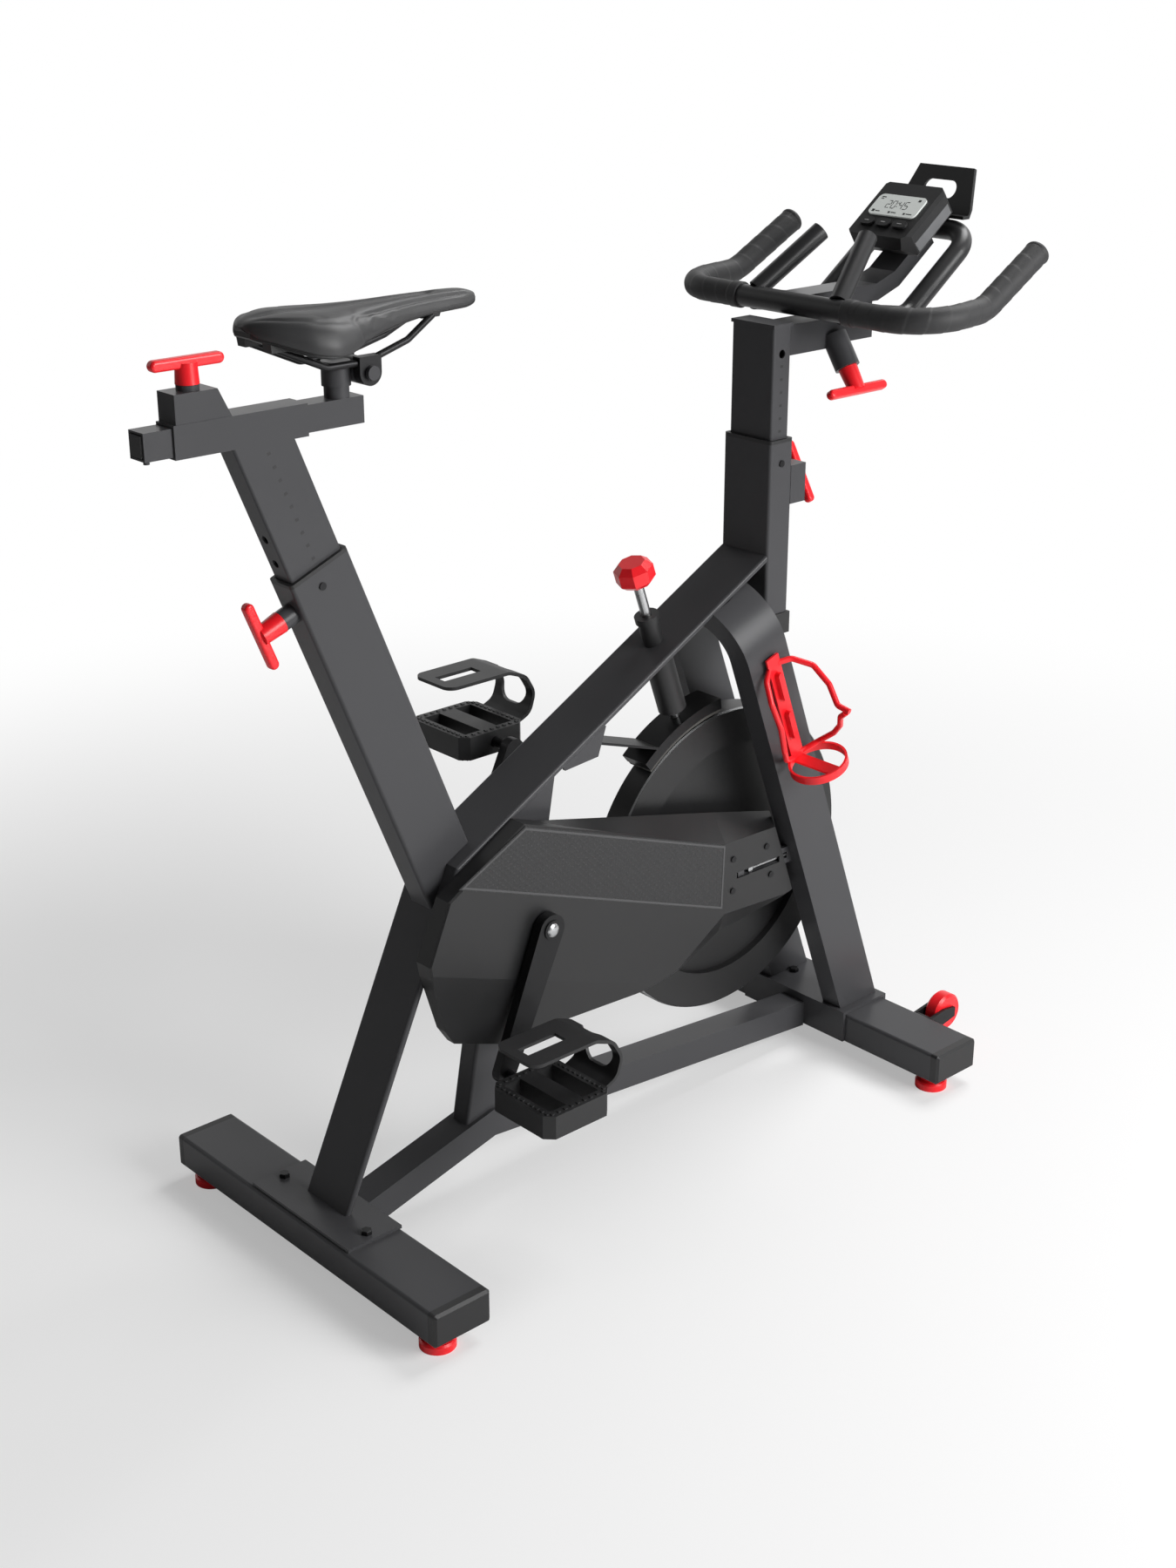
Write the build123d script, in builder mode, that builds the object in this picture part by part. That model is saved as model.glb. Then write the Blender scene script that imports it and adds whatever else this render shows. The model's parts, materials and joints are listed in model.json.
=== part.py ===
"""Exercise bike: an indoor cycle with a belt-driven flywheel, as separate pieces in millimetres.

X points forward, Y to the rider's left and Z up.
"""
import os
from math import cos, hypot, radians, sin, tan

from build123d import *

# Clearances
sliding_gap = 0.4
running_gap = 0.05
free_gap = 0.4
plug_gap = 0.2

# Floor bars, their end caps and levelling feet
bar_depth = 75.0
bar_height = 40.0
bar_half_length = 242.0
bar_wall = 3.0
bar_corner = 4.0
cap_thickness = 12.0
cap_plug = 8.0
rear_bar_x = -436.0
front_bar_x = 367.0
foot_radius = 20.0
foot_pad_height = 10.0
foot_height = 20.0
foot_stem_radius = 5.0
foot_inset = 29.0
foot_setback = 12.0
bolt_radius = 4.0
bolt_head_radius = 6.5
bolt_head_height = 5.0
screw_radius = 2.0
screw_head_radius = 4.0

# Main beam from the mast down to the rear floor bar
beam_width = 75.0
beam_thickness = 8.0
beam_round = 3.5
mast_x = 207.0
beam_front_z = 690.0
bend_x = -267.0
bend_z = 432.0
beam_foot_x = -434.0
plate_thickness = 4.0
rear_plate_half_width = 90.0

# Sleeves and posts share one pair of sections
tube_wide = 75.0
tube_deep = 38.0
tube_wall = 2.5
bush_wall = 1.6
post_wide = tube_wide - 2 * (tube_wall + bush_wall + sliding_gap)
post_deep = tube_deep - 2 * (tube_wall + bush_wall + sliding_gap)
post_wall = 2.5
bush_rim = 4.0
bush_length = 70.0

# Seat tube and seat post
seat_lean = 22.0
seat_top_x = -414.0
seat_top_z = 792.0
seat_post_below = 165.0
seat_pin_down = 32.0
seat_screw_down = 16.0

# Seat slide
slide_floor_z = 925.0
slide_wide = 25.0
slide_tall = 27.0
slide_sleeve_wall = 2.1
slide_sleeve_rear = -566.0
slide_sleeve_front = -417.0
slide_rear = -597.0
slide_front = -349.0
slide_wall = 2.0
clamp_block_top = 985.0
clamp_screw_x = -539.0
stub_x = -372.0
stub_radius = 12.5
stub_sleeve_radius = 14.5
stub_top = 990.0

# Saddle
tilt_x = -350.0
tilt_z = 979.0
barrel_radius = 13.0
barrel_half_length = 16.0
rail_radius = 3.5
rail_y = 22.0
rail_lift = 10.0
saddle_half_width = 66.0
saddle_top = 1044.0
saddle_base_thickness = 4.0

# Handles with a crossbar
pin_radius = 4.0
hub_radius = 11.5
hub_taper = 3.0
tee_radius = 5.5
collar_radius = 11.0

# Mast and handlebar post
mast_bottom = 593.0
mast_top = 821.0
mast_block_bottom = 746.0
mast_block_top = 792.0
mast_block_depth = 23.0
mast_screw_down = 24.0
bar_post_bottom = 690.0
bar_post_top = 953.0
post_plate = 4.0

# Handlebar slide
stem_floor_z = 916.0
stem_front = 345.0
stem_wall = 2.6
stem_slide_wide = 34.0
stem_slide_tall = 29.0
stem_slide_rear = 262.0
stem_slide_front = 399.0
stem_block_rear = 350.0
stem_clamp_x = 329.0
stem_clamp_dip = 56.0
stem_collar_length = 40.0
stem_collar_radius = 15.0

# Handlebar and grips
bar_radius = 13.0
grip_radius = 15.0
bar_x = 278.0
bar_z = 970.0
bar_corner_y = 196.0
bar_bend = 60.0
handlebar_wall = 2.5
grip_gap = 2.0
grip_end = 4.0
stub_bar_radius = 11.5
loop_radius = 12.0
loop_y = 68.0
loop_bend = 35.0

# Console
arm_half_width = 20.0
arm_thickness = 20.0
arm_top_z = 982.0
console_tilt = 36.5
console_half_width = 48.0
console_rise = 45.0
console_neck = 7.0
screen_half_width = 36.0
screen_thickness = 2.0
button_radius = 6.0
button_travel = 1.0
button_pitch = 25.0
phone_half_width = 41.0
phone_flare = 15.0
phone_thickness = 4.0

# Cranks, pulleys and belt
crank_x = -165.0
crank_z = 339.5
crank_length = 171.0
crank_dir_x = -0.398
spindle_radius = 8.5
arm_inner_y = 64.5
crank_thickness = 12.0
crank_boss_radius = 18.0
crank_eye_radius = 13.0
pedal_axle_radius = 6.0
drive_radius = 84.0
driven_radius = 24.0
belt_y = -48.5
pulley_width = 10.0
belt_width = 9.0
belt_thickness = 3.0
bearing_radius = 17.5
bearing_width = 10.0
shell_radius = 23.0
shell_half_length = 36.0
bracket_lean = 9.85
bracket_wide = 70.0
bracket_deep = 28.0
bracket_wall = 2.5

# Pedals
pedal_y = 150.0
pedal_half_length = 47.0
pedal_half_width = 50.0
pedal_half_height = 14.0
pedal_bar = 12.0
toe_half_width = 34.0
toe_strap = 4.0
toe_bend = 20.0
toe_height = 73.0

# Bottom beam
low_beam_width = 38.0
low_beam_height = 34.0
low_beam_wall = 2.5
kink_x = -208.0
kink_z = 101.0
low_beam_rear_z = 52.4
low_beam_front_z = 53.0

# Front fork
fork_lean = 20.5
fork_width = 65.0
fork_outer = 76.0
fork_inner = 46.0
fork_length = 558.0
fork_wall = 2.5
bracket_half_width = 88.0

# Flywheel
wheel_x = 172.0
wheel_z = 306.0
wheel_radius = 195.0
rim_half_width = 17.5
rim_inner_radius = 150.0
web_half_width = 8.0
hub_outer_radius = 30.0
dropout_half_height = 11.0
dropout_y = 54.2
dropout_thickness = 5.0
slot_half_height = 4.0

# Belt guard
guard_face_y = -62.0
guard_wall = 2.5
guard_inner_y = -38.5
guard_back_y = -40.0
guard_back_thickness = 2.0
panel_raise = 0.8
guard_round = 2.0
guard_fold = 8.0
facet_taper = 60.0

# Brake
knob_x = 28.0
knob_z = 698.0
knob_across = 43.0
brake_tilt = 19.6
rod_radius = 6.0
brake_gap = 3.5
pad_thickness = 4.5
shoe_thickness = 13.0
shoe_half_width = 20.0
hinge_x = -62.0
hinge_z = 515.0
hinge_pin_radius = 4.0
leaf_thickness = 3.0

# Bottle cage and transport wheels
cage_radius = 33.0
cage_strap = 3.0
cage_spacer = 4.0
cage_drop = 78.0
cage_arm_radius = 3.6
roller_radius = 25.0
roller_half_width = 10.0
roller_x = 445.0
roller_y = 154.0
roller_z = 52.0
roller_axle_radius = 4.0

pieces = {}


def unit(angle):
    """Direction in the side view that leans back from upright by an angle in degrees."""
    return Vector(-sin(radians(angle)), 0, cos(radians(angle)))


def across(angle):
    """Direction in the side view square to that lean, pointing forward."""
    return Vector(cos(radians(angle)), 0, sin(radians(angle)))


def meet(a, b, c, d):
    """Point where the line through a and b crosses the line through c and d."""
    ux, uz = b[0] - a[0], b[1] - a[1]
    vx, vz = d[0] - c[0], d[1] - c[1]
    step = ((c[0] - a[0]) * vz - (c[1] - a[1]) * vx) / (ux * vz - uz * vx)
    return (a[0] + ux * step, a[1] + uz * step)


def shifted(points, distance):
    """Shift a chain of points sideways to the left of its direction, with mitred corners."""
    sides = []
    for (ax, az), (bx, bz) in zip(points, points[1:]):
        run = hypot(bx - ax, bz - az)
        sx, sz = -(bz - az) / run * distance, (bx - ax) / run * distance
        sides.append(((ax + sx, az + sz), (bx + sx, bz + sz)))
    corners = [meet(*first, *second) for first, second in zip(sides, sides[1:])]
    return [sides[0][0]] + corners + [sides[-1][1]]


def strip(points, thickness):
    """Closed outline of a bent flat bar whose first face follows the points."""
    return points + shifted(points, thickness)[::-1]


def slab(outline, half_width, at=0.0, mode=Mode.ADD):
    """Add a side outline of (x, z) points, half_width to each side of y = at."""
    with BuildSketch(Plane.XZ.offset(-at)) as face:
        with BuildLine():
            Polyline(*outline, close=True)
        make_face()
    extrude(face.sketch, amount=half_width, both=True, mode=mode)


def block(x, y, z, mode=Mode.ADD):
    """Add a square block, given its two limits along each axis."""
    with Locations(((x[0] + x[1]) / 2, (y[0] + y[1]) / 2, (z[0] + z[1]) / 2)):
        Box(x[1] - x[0], y[1] - y[0], z[1] - z[0], mode=mode)


def rod(start, end, radius, mode=Mode.ADD):
    """Add a round bar between two points."""
    run = Vector(end) - Vector(start)
    with BuildSketch(Plane(origin=start, z_dir=run)) as disc:
        Circle(radius)
    extrude(disc.sketch, amount=run.length, mode=mode)


def cross_rod(x, z, y0, y1, radius, mode=Mode.ADD):
    """Add a round bar along Y."""
    rod((x, y0, z), (x, y1, z), radius, mode)


def bent_tube(points, bend, radius, mode=Mode.ADD):
    """Add a round bar that follows a chain of points with rounded corners."""
    with BuildLine() as path:
        FilletPolyline(*points, radius=bend)
    with BuildSketch(Plane(origin=points[0], z_dir=Vector(points[1]) - Vector(points[0]))) as disc:
        Circle(radius)
    sweep(disc.sketch, path=path.line, mode=mode)


def tee(base, outward, crosswise, hub_length, bar_length, pin_length):
    """Add a handle: a flattened crossbar, a tapered hub down to the base and a pin inward from it."""
    side = outward.cross(crosswise)
    with BuildSketch(Plane(origin=base + outward * hub_length, x_dir=crosswise, z_dir=side)) as grip:
        SlotOverall(bar_length, 2 * tee_radius)
    extrude(grip.sketch, amount=tee_radius, both=True)
    rims = [edge for edge in edges() if abs((edge.center() - base).dot(side)) > tee_radius - 0.1]
    fillet(rims, tee_radius * 0.6)
    with BuildSketch(Plane(origin=base, z_dir=outward)) as hub:
        Circle(hub_radius)
    extrude(hub.sketch, amount=hub_length, taper=hub_taper)
    rod(base - outward * pin_length, base, pin_radius)


def hollow(plane, wide, deep, wall, start, end, corner):
    """Add a square tube along the normal of a plane, between two distances from it."""
    with BuildSketch(plane.offset(start)) as outside:
        RectangleRounded(wide, deep, corner)
    extrude(outside.sketch, amount=end - start)
    with BuildSketch(plane.offset(start)) as inside:
        Rectangle(wide - 2 * wall, deep - 2 * wall)
    extrude(inside.sketch, amount=end - start, mode=Mode.SUBTRACT)


def bush(plane):
    """Add the plastic lining of a sleeve, with a rim on the sleeve's top face."""
    with BuildSketch(plane) as rim:
        RectangleRounded(tube_wide, tube_deep, 4)
        Rectangle(post_wide + 2 * sliding_gap, post_deep + 2 * sliding_gap, mode=Mode.SUBTRACT)
    extrude(rim.sketch, amount=bush_rim)
    with BuildSketch(plane) as lining:
        Rectangle(tube_wide - 2 * tube_wall, tube_deep - 2 * tube_wall)
        Rectangle(post_wide + 2 * sliding_gap, post_deep + 2 * sliding_gap, mode=Mode.SUBTRACT)
    extrude(lining.sketch, amount=-bush_length)


# Derived places
bar_top = foot_height + bar_height
plate_top = bar_top + plate_thickness
rear_bolt_y = rear_plate_half_width - 2 * bolt_head_radius
front_bolt_y = fork_inner - bolt_head_radius - 1.5
beam_dir = (mast_x - bend_x, beam_front_z - bend_z)
foot_dir = (beam_foot_x - bend_x, plate_top - bend_z)
beam_line = [
    (mast_x + beam_dir[0] * 0.1, beam_front_z + beam_dir[1] * 0.1),
    (bend_x, bend_z),
    (beam_foot_x + foot_dir[0] * 0.1, plate_top + foot_dir[1] * 0.1),
]
beam_outline = strip(beam_line, beam_thickness)
beam_under = shifted(beam_line, beam_thickness)
above_beam = beam_under + [(-700, 40), (-700, 900), (300, 900)]
below_beam = beam_line + [(-300, -200), (300, -200)]
low_slope = (kink_z - low_beam_front_z) / (front_bar_x - bar_depth / 2 - kink_x)
low_front = (front_bar_x, kink_z - low_slope * (front_bar_x - kink_x))
low_rear_slope = (kink_z - low_beam_rear_z) / (kink_x - rear_bar_x - bar_depth / 2)
low_rear = (rear_bar_x, kink_z - low_rear_slope * (kink_x - rear_bar_x))
low_line = [low_front, (kink_x, kink_z), low_rear]

seat_up = unit(seat_lean)
seat_forward = across(seat_lean)
seat_top = Vector(seat_top_x, 0, seat_top_z)
seat_plane = Plane(origin=seat_top, x_dir=seat_forward, z_dir=seat_up)
mast_centre = mast_x + tube_deep / 2
mast_front = mast_x + tube_deep
mast_plane = Plane(origin=(mast_centre, 0, mast_top), x_dir=(0, 1, 0), z_dir=(0, 0, 1))

slide_z0 = slide_floor_z + slide_sleeve_wall + sliding_gap
slide_z1 = slide_z0 + slide_tall
sleeve_top = slide_z1 + sliding_gap + slide_sleeve_wall
sleeve_half = slide_wide / 2 + sliding_gap + slide_sleeve_wall

stem_z0 = stem_floor_z + stem_wall + sliding_gap
stem_z1 = stem_z0 + stem_slide_tall
stem_top = stem_z1 + sliding_gap + stem_wall
stem_half = stem_slide_wide / 2 + sliding_gap + stem_wall
stem_out = Vector(0, -cos(radians(stem_clamp_dip)), -sin(radians(stem_clamp_dip)))
stem_side = Vector(stem_clamp_x, -stem_half, (stem_floor_z + stem_top) / 2 - 5)

fork_up = unit(fork_lean)
fork_forward = across(fork_lean)
fork_foot = Vector(front_bar_x, 0, plate_top)

brake_down = -unit(brake_tilt)
knob_centre = Vector(knob_x, 0, knob_z)
brake_reach = (Vector(wheel_x, 0, wheel_z) - knob_centre).dot(brake_down)
pad_inner = wheel_radius + brake_gap
shoe_inner = pad_inner + pad_thickness
shoe_outer = shoe_inner + shoe_thickness

crank_dir = Vector(crank_dir_x, 0, -(1 - crank_dir_x ** 2) ** 0.5)


def on_seat(forward, down):
    """Point on the seat tube's middle plane, measured from its top."""
    return seat_top + seat_forward * forward - seat_up * down


def on_brake(distance):
    """Point on the brake screw's axis, measured down from the knob."""
    return knob_centre + brake_down * distance


def seat_pin_hole(radius, inner, outer):
    """Bore along the seat pin between two distances behind the tube's axis."""
    rod(on_seat(-outer, seat_pin_down), on_seat(-inner, seat_pin_down), radius, Mode.SUBTRACT)


# Main beam
with BuildPart() as main_beam:
    slab(beam_outline, beam_width / 2)
    long_edges = [edge for edge in main_beam.edges()
                  if edge.length > 100 and abs(edge.center().Y) > beam_width / 2 - 0.1]
    fillet(long_edges, beam_round)
    block((mast_x, mast_x + 200), (-100, 100), (400, 1000), Mode.SUBTRACT)
    block((-800, 0), (-100, 100), (-200, plate_top), Mode.SUBTRACT)
    block((rear_bar_x - 34, rear_bar_x + 38), (-rear_plate_half_width, rear_plate_half_width),
          (bar_top, plate_top))
    for side in (-1, 1):
        rod((rear_bar_x, side * rear_bolt_y, bar_top - 1),
            (rear_bar_x, side * rear_bolt_y, plate_top + 1), bolt_radius, Mode.SUBTRACT)
        slab([(hinge_x - 46, hinge_z - 6), (hinge_x - 40, hinge_z - 16), (hinge_x + 10, hinge_z - 12),
              (hinge_x + 22, hinge_z + 22), (hinge_x, hinge_z + 24)], 2, side * 26)
    cross_rod(hinge_x, hinge_z, -26, 26, hinge_pin_radius)
    rod(on_brake(60), on_brake(140), 12.5, Mode.SUBTRACT)
pieces["main_beam"] = main_beam

# Seat tube
with BuildPart() as seat_tube:
    hollow(seat_plane, tube_wide, tube_deep, tube_wall, -440, 0, 4)
    slab(below_beam, tube_wide, mode=Mode.SUBTRACT)
    rod(on_seat(-tube_wide / 2, seat_pin_down), on_seat(-tube_wide / 2 - 16, seat_pin_down),
        collar_radius)
    seat_pin_hole(pin_radius + free_gap, post_wide / 2, tube_wide)
    rod(on_seat(-5, seat_screw_down) - Vector(0, tube_deep, 0), on_seat(-5, seat_screw_down),
        screw_radius, Mode.SUBTRACT)
pieces["seat_tube"] = seat_tube

# Mast sleeve with the pin block on its front
with BuildPart() as mast_sleeve:
    hollow(mast_plane, tube_wide, tube_deep, tube_wall, mast_bottom - mast_top, 0, 4)
    block((mast_front - 2, mast_front + mast_block_depth), (-tube_wide / 2, tube_wide / 2),
          (mast_block_bottom, mast_block_top))
    block((mast_front - tube_wall - 1, mast_front),
          (-tube_wide / 2 + tube_wall, tube_wide / 2 - tube_wall),
          (mast_block_bottom - 5, mast_block_top + 5), Mode.SUBTRACT)
    block((mast_front - tube_wall, mast_front), (-tube_wide / 2 + tube_wall, tube_wide / 2 - tube_wall),
          (mast_block_bottom - 5, mast_block_top + 5))
    mast_pin_z = (mast_block_bottom + mast_block_top) / 2
    rod((mast_front + mast_block_depth, 0, mast_pin_z),
        (mast_front + mast_block_depth + 8, 0, mast_pin_z), collar_radius)
    rod((mast_centre + post_deep / 2, 0, mast_pin_z), (mast_front + 60, 0, mast_pin_z),
        pin_radius + free_gap, Mode.SUBTRACT)
    rod((mast_centre, -tube_wide, mast_top - mast_screw_down),
        (mast_centre, 0, mast_top - mast_screw_down),
        screw_radius, Mode.SUBTRACT)
pieces["mast_sleeve"] = mast_sleeve

# Plastic cap under the mast
with BuildPart() as mast_cap:
    block((mast_x - 2, mast_front + 2), (-tube_wide / 2 - 2, tube_wide / 2 + 2),
          (mast_bottom - 4, mast_bottom + 22))
    block((mast_x, mast_front), (-tube_wide / 2, tube_wide / 2), (mast_bottom, mast_bottom + 30),
          Mode.SUBTRACT)
pieces["mast_cap"] = mast_cap

# Bushes in both sleeves
with BuildPart() as post_bushes:
    bush(seat_plane)
    bush(mast_plane)
    seat_pin_hole(pin_radius + free_gap, post_wide / 2 - 2, tube_wide)
    rod((mast_centre, 0, mast_pin_z), (mast_front + 60, 0, mast_pin_z), pin_radius + free_gap,
        Mode.SUBTRACT)
pieces["post_bushes"] = post_bushes

# Floor bars


def bar_section(centre):
    """Drawing plane across a floor bar, at the bike's middle."""
    return Plane(origin=(centre, 0, foot_height + bar_height / 2), x_dir=(1, 0, 0), z_dir=(0, 1, 0))


for name, centre in (("rear_stabiliser", rear_bar_x), ("front_stabiliser", front_bar_x)):
    with BuildPart() as floor_bar:
        tube_half = bar_half_length - cap_thickness
        hollow(bar_section(centre), bar_depth, bar_height, bar_wall, -tube_half, tube_half, bar_corner)
        bolt_y = rear_bolt_y if centre == rear_bar_x else front_bolt_y
        for side in (-1, 1):
            foot_y = side * (bar_half_length - foot_inset)
            rod((centre - foot_setback, foot_y, 0), (centre - foot_setback, foot_y, foot_height + 10),
                foot_stem_radius + free_gap, Mode.SUBTRACT)
            rod((centre, side * bolt_y, bar_top - 10), (centre, side * bolt_y, bar_top + 1), bolt_radius,
                Mode.SUBTRACT)
    pieces[name] = floor_bar

with BuildPart() as stabiliser_end_caps:
    for centre in (rear_bar_x, front_bar_x):
        for side in (-1, 1):
            tube_end = bar_half_length - cap_thickness
            with BuildSketch(bar_section(centre).offset(side * tube_end)) as cap:
                RectangleRounded(bar_depth, bar_height, bar_corner)
            extrude(cap.sketch, amount=side * cap_thickness)
            inset = bar_wall + plug_gap
            with BuildSketch(bar_section(centre).offset(side * tube_end)) as plug:
                Rectangle(bar_depth - 2 * inset, bar_height - 2 * inset)
            extrude(plug.sketch, amount=-side * cap_plug)
    outer_faces = stabiliser_end_caps.faces().filter_by(Axis.Y)
    outer_faces = [face for face in outer_faces if abs(face.center().Y) > bar_half_length - 0.1]
    outer_edges = [edge for face in outer_faces for edge in face.edges()]
    chamfer(outer_edges, 0.75 * bar_corner)
pieces["stabiliser_end_caps"] = stabiliser_end_caps

with BuildPart() as stabiliser_bolts:
    for centre, bolt_y in ((rear_bar_x, rear_bolt_y), (front_bar_x, front_bolt_y)):
        for side in (-1, 1):
            rod((centre, side * bolt_y, bar_top - bar_wall), (centre, side * bolt_y, plate_top),
                bolt_radius)
            with BuildSketch(Plane((centre, side * bolt_y, plate_top))) as head:
                RegularPolygon(bolt_head_radius, 6)
            extrude(head.sketch, amount=bolt_head_height)
    head_tops = [edge for edge in stabiliser_bolts.edges()
                 if edge.center().Z > plate_top + bolt_head_height - 0.1]
    chamfer(head_tops, 0.8)
pieces["stabiliser_bolts"] = stabiliser_bolts

for end, centre in (("rear", rear_bar_x), ("front", front_bar_x)):
    for hand, side in (("left", 1), ("right", -1)):
        with BuildPart() as levelling_foot:
            foot_x = centre - foot_setback
            foot_y = side * (bar_half_length - foot_inset)
            rod((foot_x, foot_y, 0), (foot_x, foot_y, foot_pad_height), foot_radius)
            chamfer(levelling_foot.faces().sort_by(Axis.Z)[-1].edges(), 2)
            rod((foot_x, foot_y, 0), (foot_x, foot_y, foot_pad_height + 4), 0.65 * foot_radius)
            rod((foot_x, foot_y, foot_pad_height), (foot_x, foot_y, foot_height + 14), foot_stem_radius)
        pieces["levelling_foot_" + end + "_" + hand] = levelling_foot

# Bottom beam between the floor bars
with BuildPart() as bottom_beam:
    slab(strip(low_line, low_beam_height), low_beam_width / 2)
    slab(strip(shifted(low_line, low_beam_wall), low_beam_height - 2 * low_beam_wall),
         low_beam_width / 2 - low_beam_wall, mode=Mode.SUBTRACT)
    block((front_bar_x - bar_depth / 2 - plate_thickness, 900), (-50, 50), (-50, 200), Mode.SUBTRACT)
    block((-900, rear_bar_x + bar_depth / 2), (-50, 50), (-50, 200), Mode.SUBTRACT)
pieces["bottom_beam"] = bottom_beam

# Bracket post with the crank shell
bracket_plane = Plane(origin=(crank_x, 0, crank_z), x_dir=across(-bracket_lean),
                      z_dir=unit(-bracket_lean))
with BuildPart() as bracket_post:
    hollow(bracket_plane, bracket_wide, bracket_deep, bracket_wall, -320, 320, 4)
    slab(above_beam, bracket_deep, mode=Mode.SUBTRACT)
    slab(low_line + [(rear_bar_x, -200), (front_bar_x, -200)], bracket_deep, mode=Mode.SUBTRACT)
    cross_rod(crank_x, crank_z, -shell_half_length, shell_half_length, shell_radius)
    cross_rod(crank_x, crank_z, -shell_half_length, shell_half_length, spindle_radius + 4, Mode.SUBTRACT)
    for side in (-1, 1):
        cross_rod(crank_x, crank_z, side * shell_half_length, side * (shell_half_length - bearing_width),
                  bearing_radius, Mode.SUBTRACT)
pieces["bracket_post"] = bracket_post

# Front fork with the bracket round the front floor bar and the axle plates
fork_plane = Plane(origin=fork_foot, x_dir=(0, 1, 0), z_dir=fork_forward)
with BuildPart() as front_fork:
    for inset, mode in ((0, Mode.ADD), (fork_wall, Mode.SUBTRACT)):
        with BuildSketch(fork_plane) as arch:
            with Locations((0, fork_length / 2 - 50)):
                Rectangle(2 * (fork_outer - inset), fork_length + 100)
            with Locations((0, fork_length)):
                Circle(fork_outer - inset)
            with Locations((0, fork_length / 2 - 50)):
                Rectangle(2 * (fork_inner + inset), fork_length + 100, mode=Mode.SUBTRACT)
            with Locations((0, fork_length)):
                Circle(fork_inner + inset, mode=Mode.SUBTRACT)
        extrude(amount=fork_width / 2 - inset, both=True, mode=mode)
    slab(above_beam, beam_width / 2, mode=Mode.SUBTRACT)
    block((0, 700), (-200, 200), (-200, plate_top), Mode.SUBTRACT)
    for side in (-1, 1):
        plate_mid = side * (dropout_y + dropout_thickness / 2)
        slab([(wheel_x - 22, wheel_z - dropout_half_height),
              (wheel_x + 90, wheel_z - dropout_half_height),
              (wheel_x + 90, wheel_z + dropout_half_height),
              (wheel_x - 22, wheel_z + dropout_half_height)], dropout_thickness / 2, plate_mid)
        slab([(wheel_x - 12, wheel_z - slot_half_height), (wheel_x + 64, wheel_z - slot_half_height),
              (wheel_x + 64, wheel_z + slot_half_height), (wheel_x - 12, wheel_z + slot_half_height)],
             dropout_thickness, plate_mid, Mode.SUBTRACT)
    half = bar_depth / 2
    block((front_bar_x - half - plate_thickness, front_bar_x + half + plate_thickness),
          (-bracket_half_width, bracket_half_width), (foot_height + 2, plate_top))
    block((front_bar_x - half, front_bar_x + half), (-200, 200), (0, bar_top), Mode.SUBTRACT)
    for side in (-1, 1):
        rod((front_bar_x, side * front_bolt_y, bar_top - 1),
            (front_bar_x, side * front_bolt_y, plate_top + 1), bolt_radius, Mode.SUBTRACT)
pieces["front_fork"] = front_fork

# Flywheel with its hub and driven pulley, on a fixed axle with tensioner screws
pulley_y0 = belt_y - pulley_width / 2
pulley_y1 = belt_y + pulley_width / 2
with BuildPart() as flywheel:
    cross_rod(wheel_x, wheel_z, -rim_half_width, rim_half_width, wheel_radius)
    rim_edges = [edge for edge in flywheel.edges() if edge.geom_type == GeomType.CIRCLE]
    chamfer(rim_edges, 2)
    for side in (-1, 1):
        cross_rod(wheel_x, wheel_z, side * web_half_width, side * (rim_half_width + 1), rim_inner_radius,
                  Mode.SUBTRACT)
    cross_rod(wheel_x, wheel_z, -rim_half_width - 4, rim_half_width + 4, hub_outer_radius)
    cross_rod(wheel_x, wheel_z, pulley_y0, -rim_half_width, driven_radius - 6)
    cross_rod(wheel_x, wheel_z, pulley_y0, pulley_y1, driven_radius)
    cross_rod(wheel_x, wheel_z, -rim_half_width - 4, rim_half_width + 5, bearing_radius + running_gap,
              Mode.SUBTRACT)
    cross_rod(wheel_x, wheel_z, pulley_y0 - 1, 0, spindle_radius + 1, Mode.SUBTRACT)
pieces["flywheel"] = flywheel

with BuildPart() as flywheel_axle:
    cross_rod(wheel_x, wheel_z, -dropout_y, dropout_y, spindle_radius)
    cross_rod(wheel_x, wheel_z, -dropout_y - dropout_thickness, dropout_y + dropout_thickness,
              slot_half_height - 0.2)
    for side in (-1, 1):
        plate_mid = side * (dropout_y + dropout_thickness / 2)
        rod((wheel_x, plate_mid, wheel_z), (wheel_x + 64, plate_mid, wheel_z), 2)
pieces["flywheel_axle"] = flywheel_axle

with BuildPart() as bearings:
    for side in (-1, 1):
        for centre_x, centre_z, outer in ((crank_x, crank_z, shell_half_length),
                                          (wheel_x, wheel_z, rim_half_width + 2)):
            cross_rod(centre_x, centre_z, side * outer, side * (outer - bearing_width), bearing_radius)
            slack = running_gap if centre_x == crank_x else 0
            cross_rod(centre_x, centre_z, side * outer, side * (outer - bearing_width),
                      spindle_radius + slack, Mode.SUBTRACT)
pieces["bearings"] = bearings

# Cranks
with BuildPart() as crank_spindle:
    cross_rod(crank_x, crank_z, -arm_inner_y - crank_thickness, arm_inner_y + crank_thickness,
              spindle_radius)
pieces["crank_spindle"] = crank_spindle

with BuildPart() as drive_pulley:
    cross_rod(crank_x, crank_z, pulley_y0, pulley_y1, drive_radius)
    cross_rod(crank_x, crank_z, pulley_y0, belt_y - 2, drive_radius - 10, Mode.SUBTRACT)
    cross_rod(crank_x, crank_z, belt_y + 2, pulley_y1, drive_radius - 10, Mode.SUBTRACT)
    cross_rod(crank_x, crank_z, pulley_y0, pulley_y1, spindle_radius + 8)
    cross_rod(crank_x, crank_z, pulley_y0, pulley_y1, spindle_radius, Mode.SUBTRACT)
pieces["drive_pulley"] = drive_pulley

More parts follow.
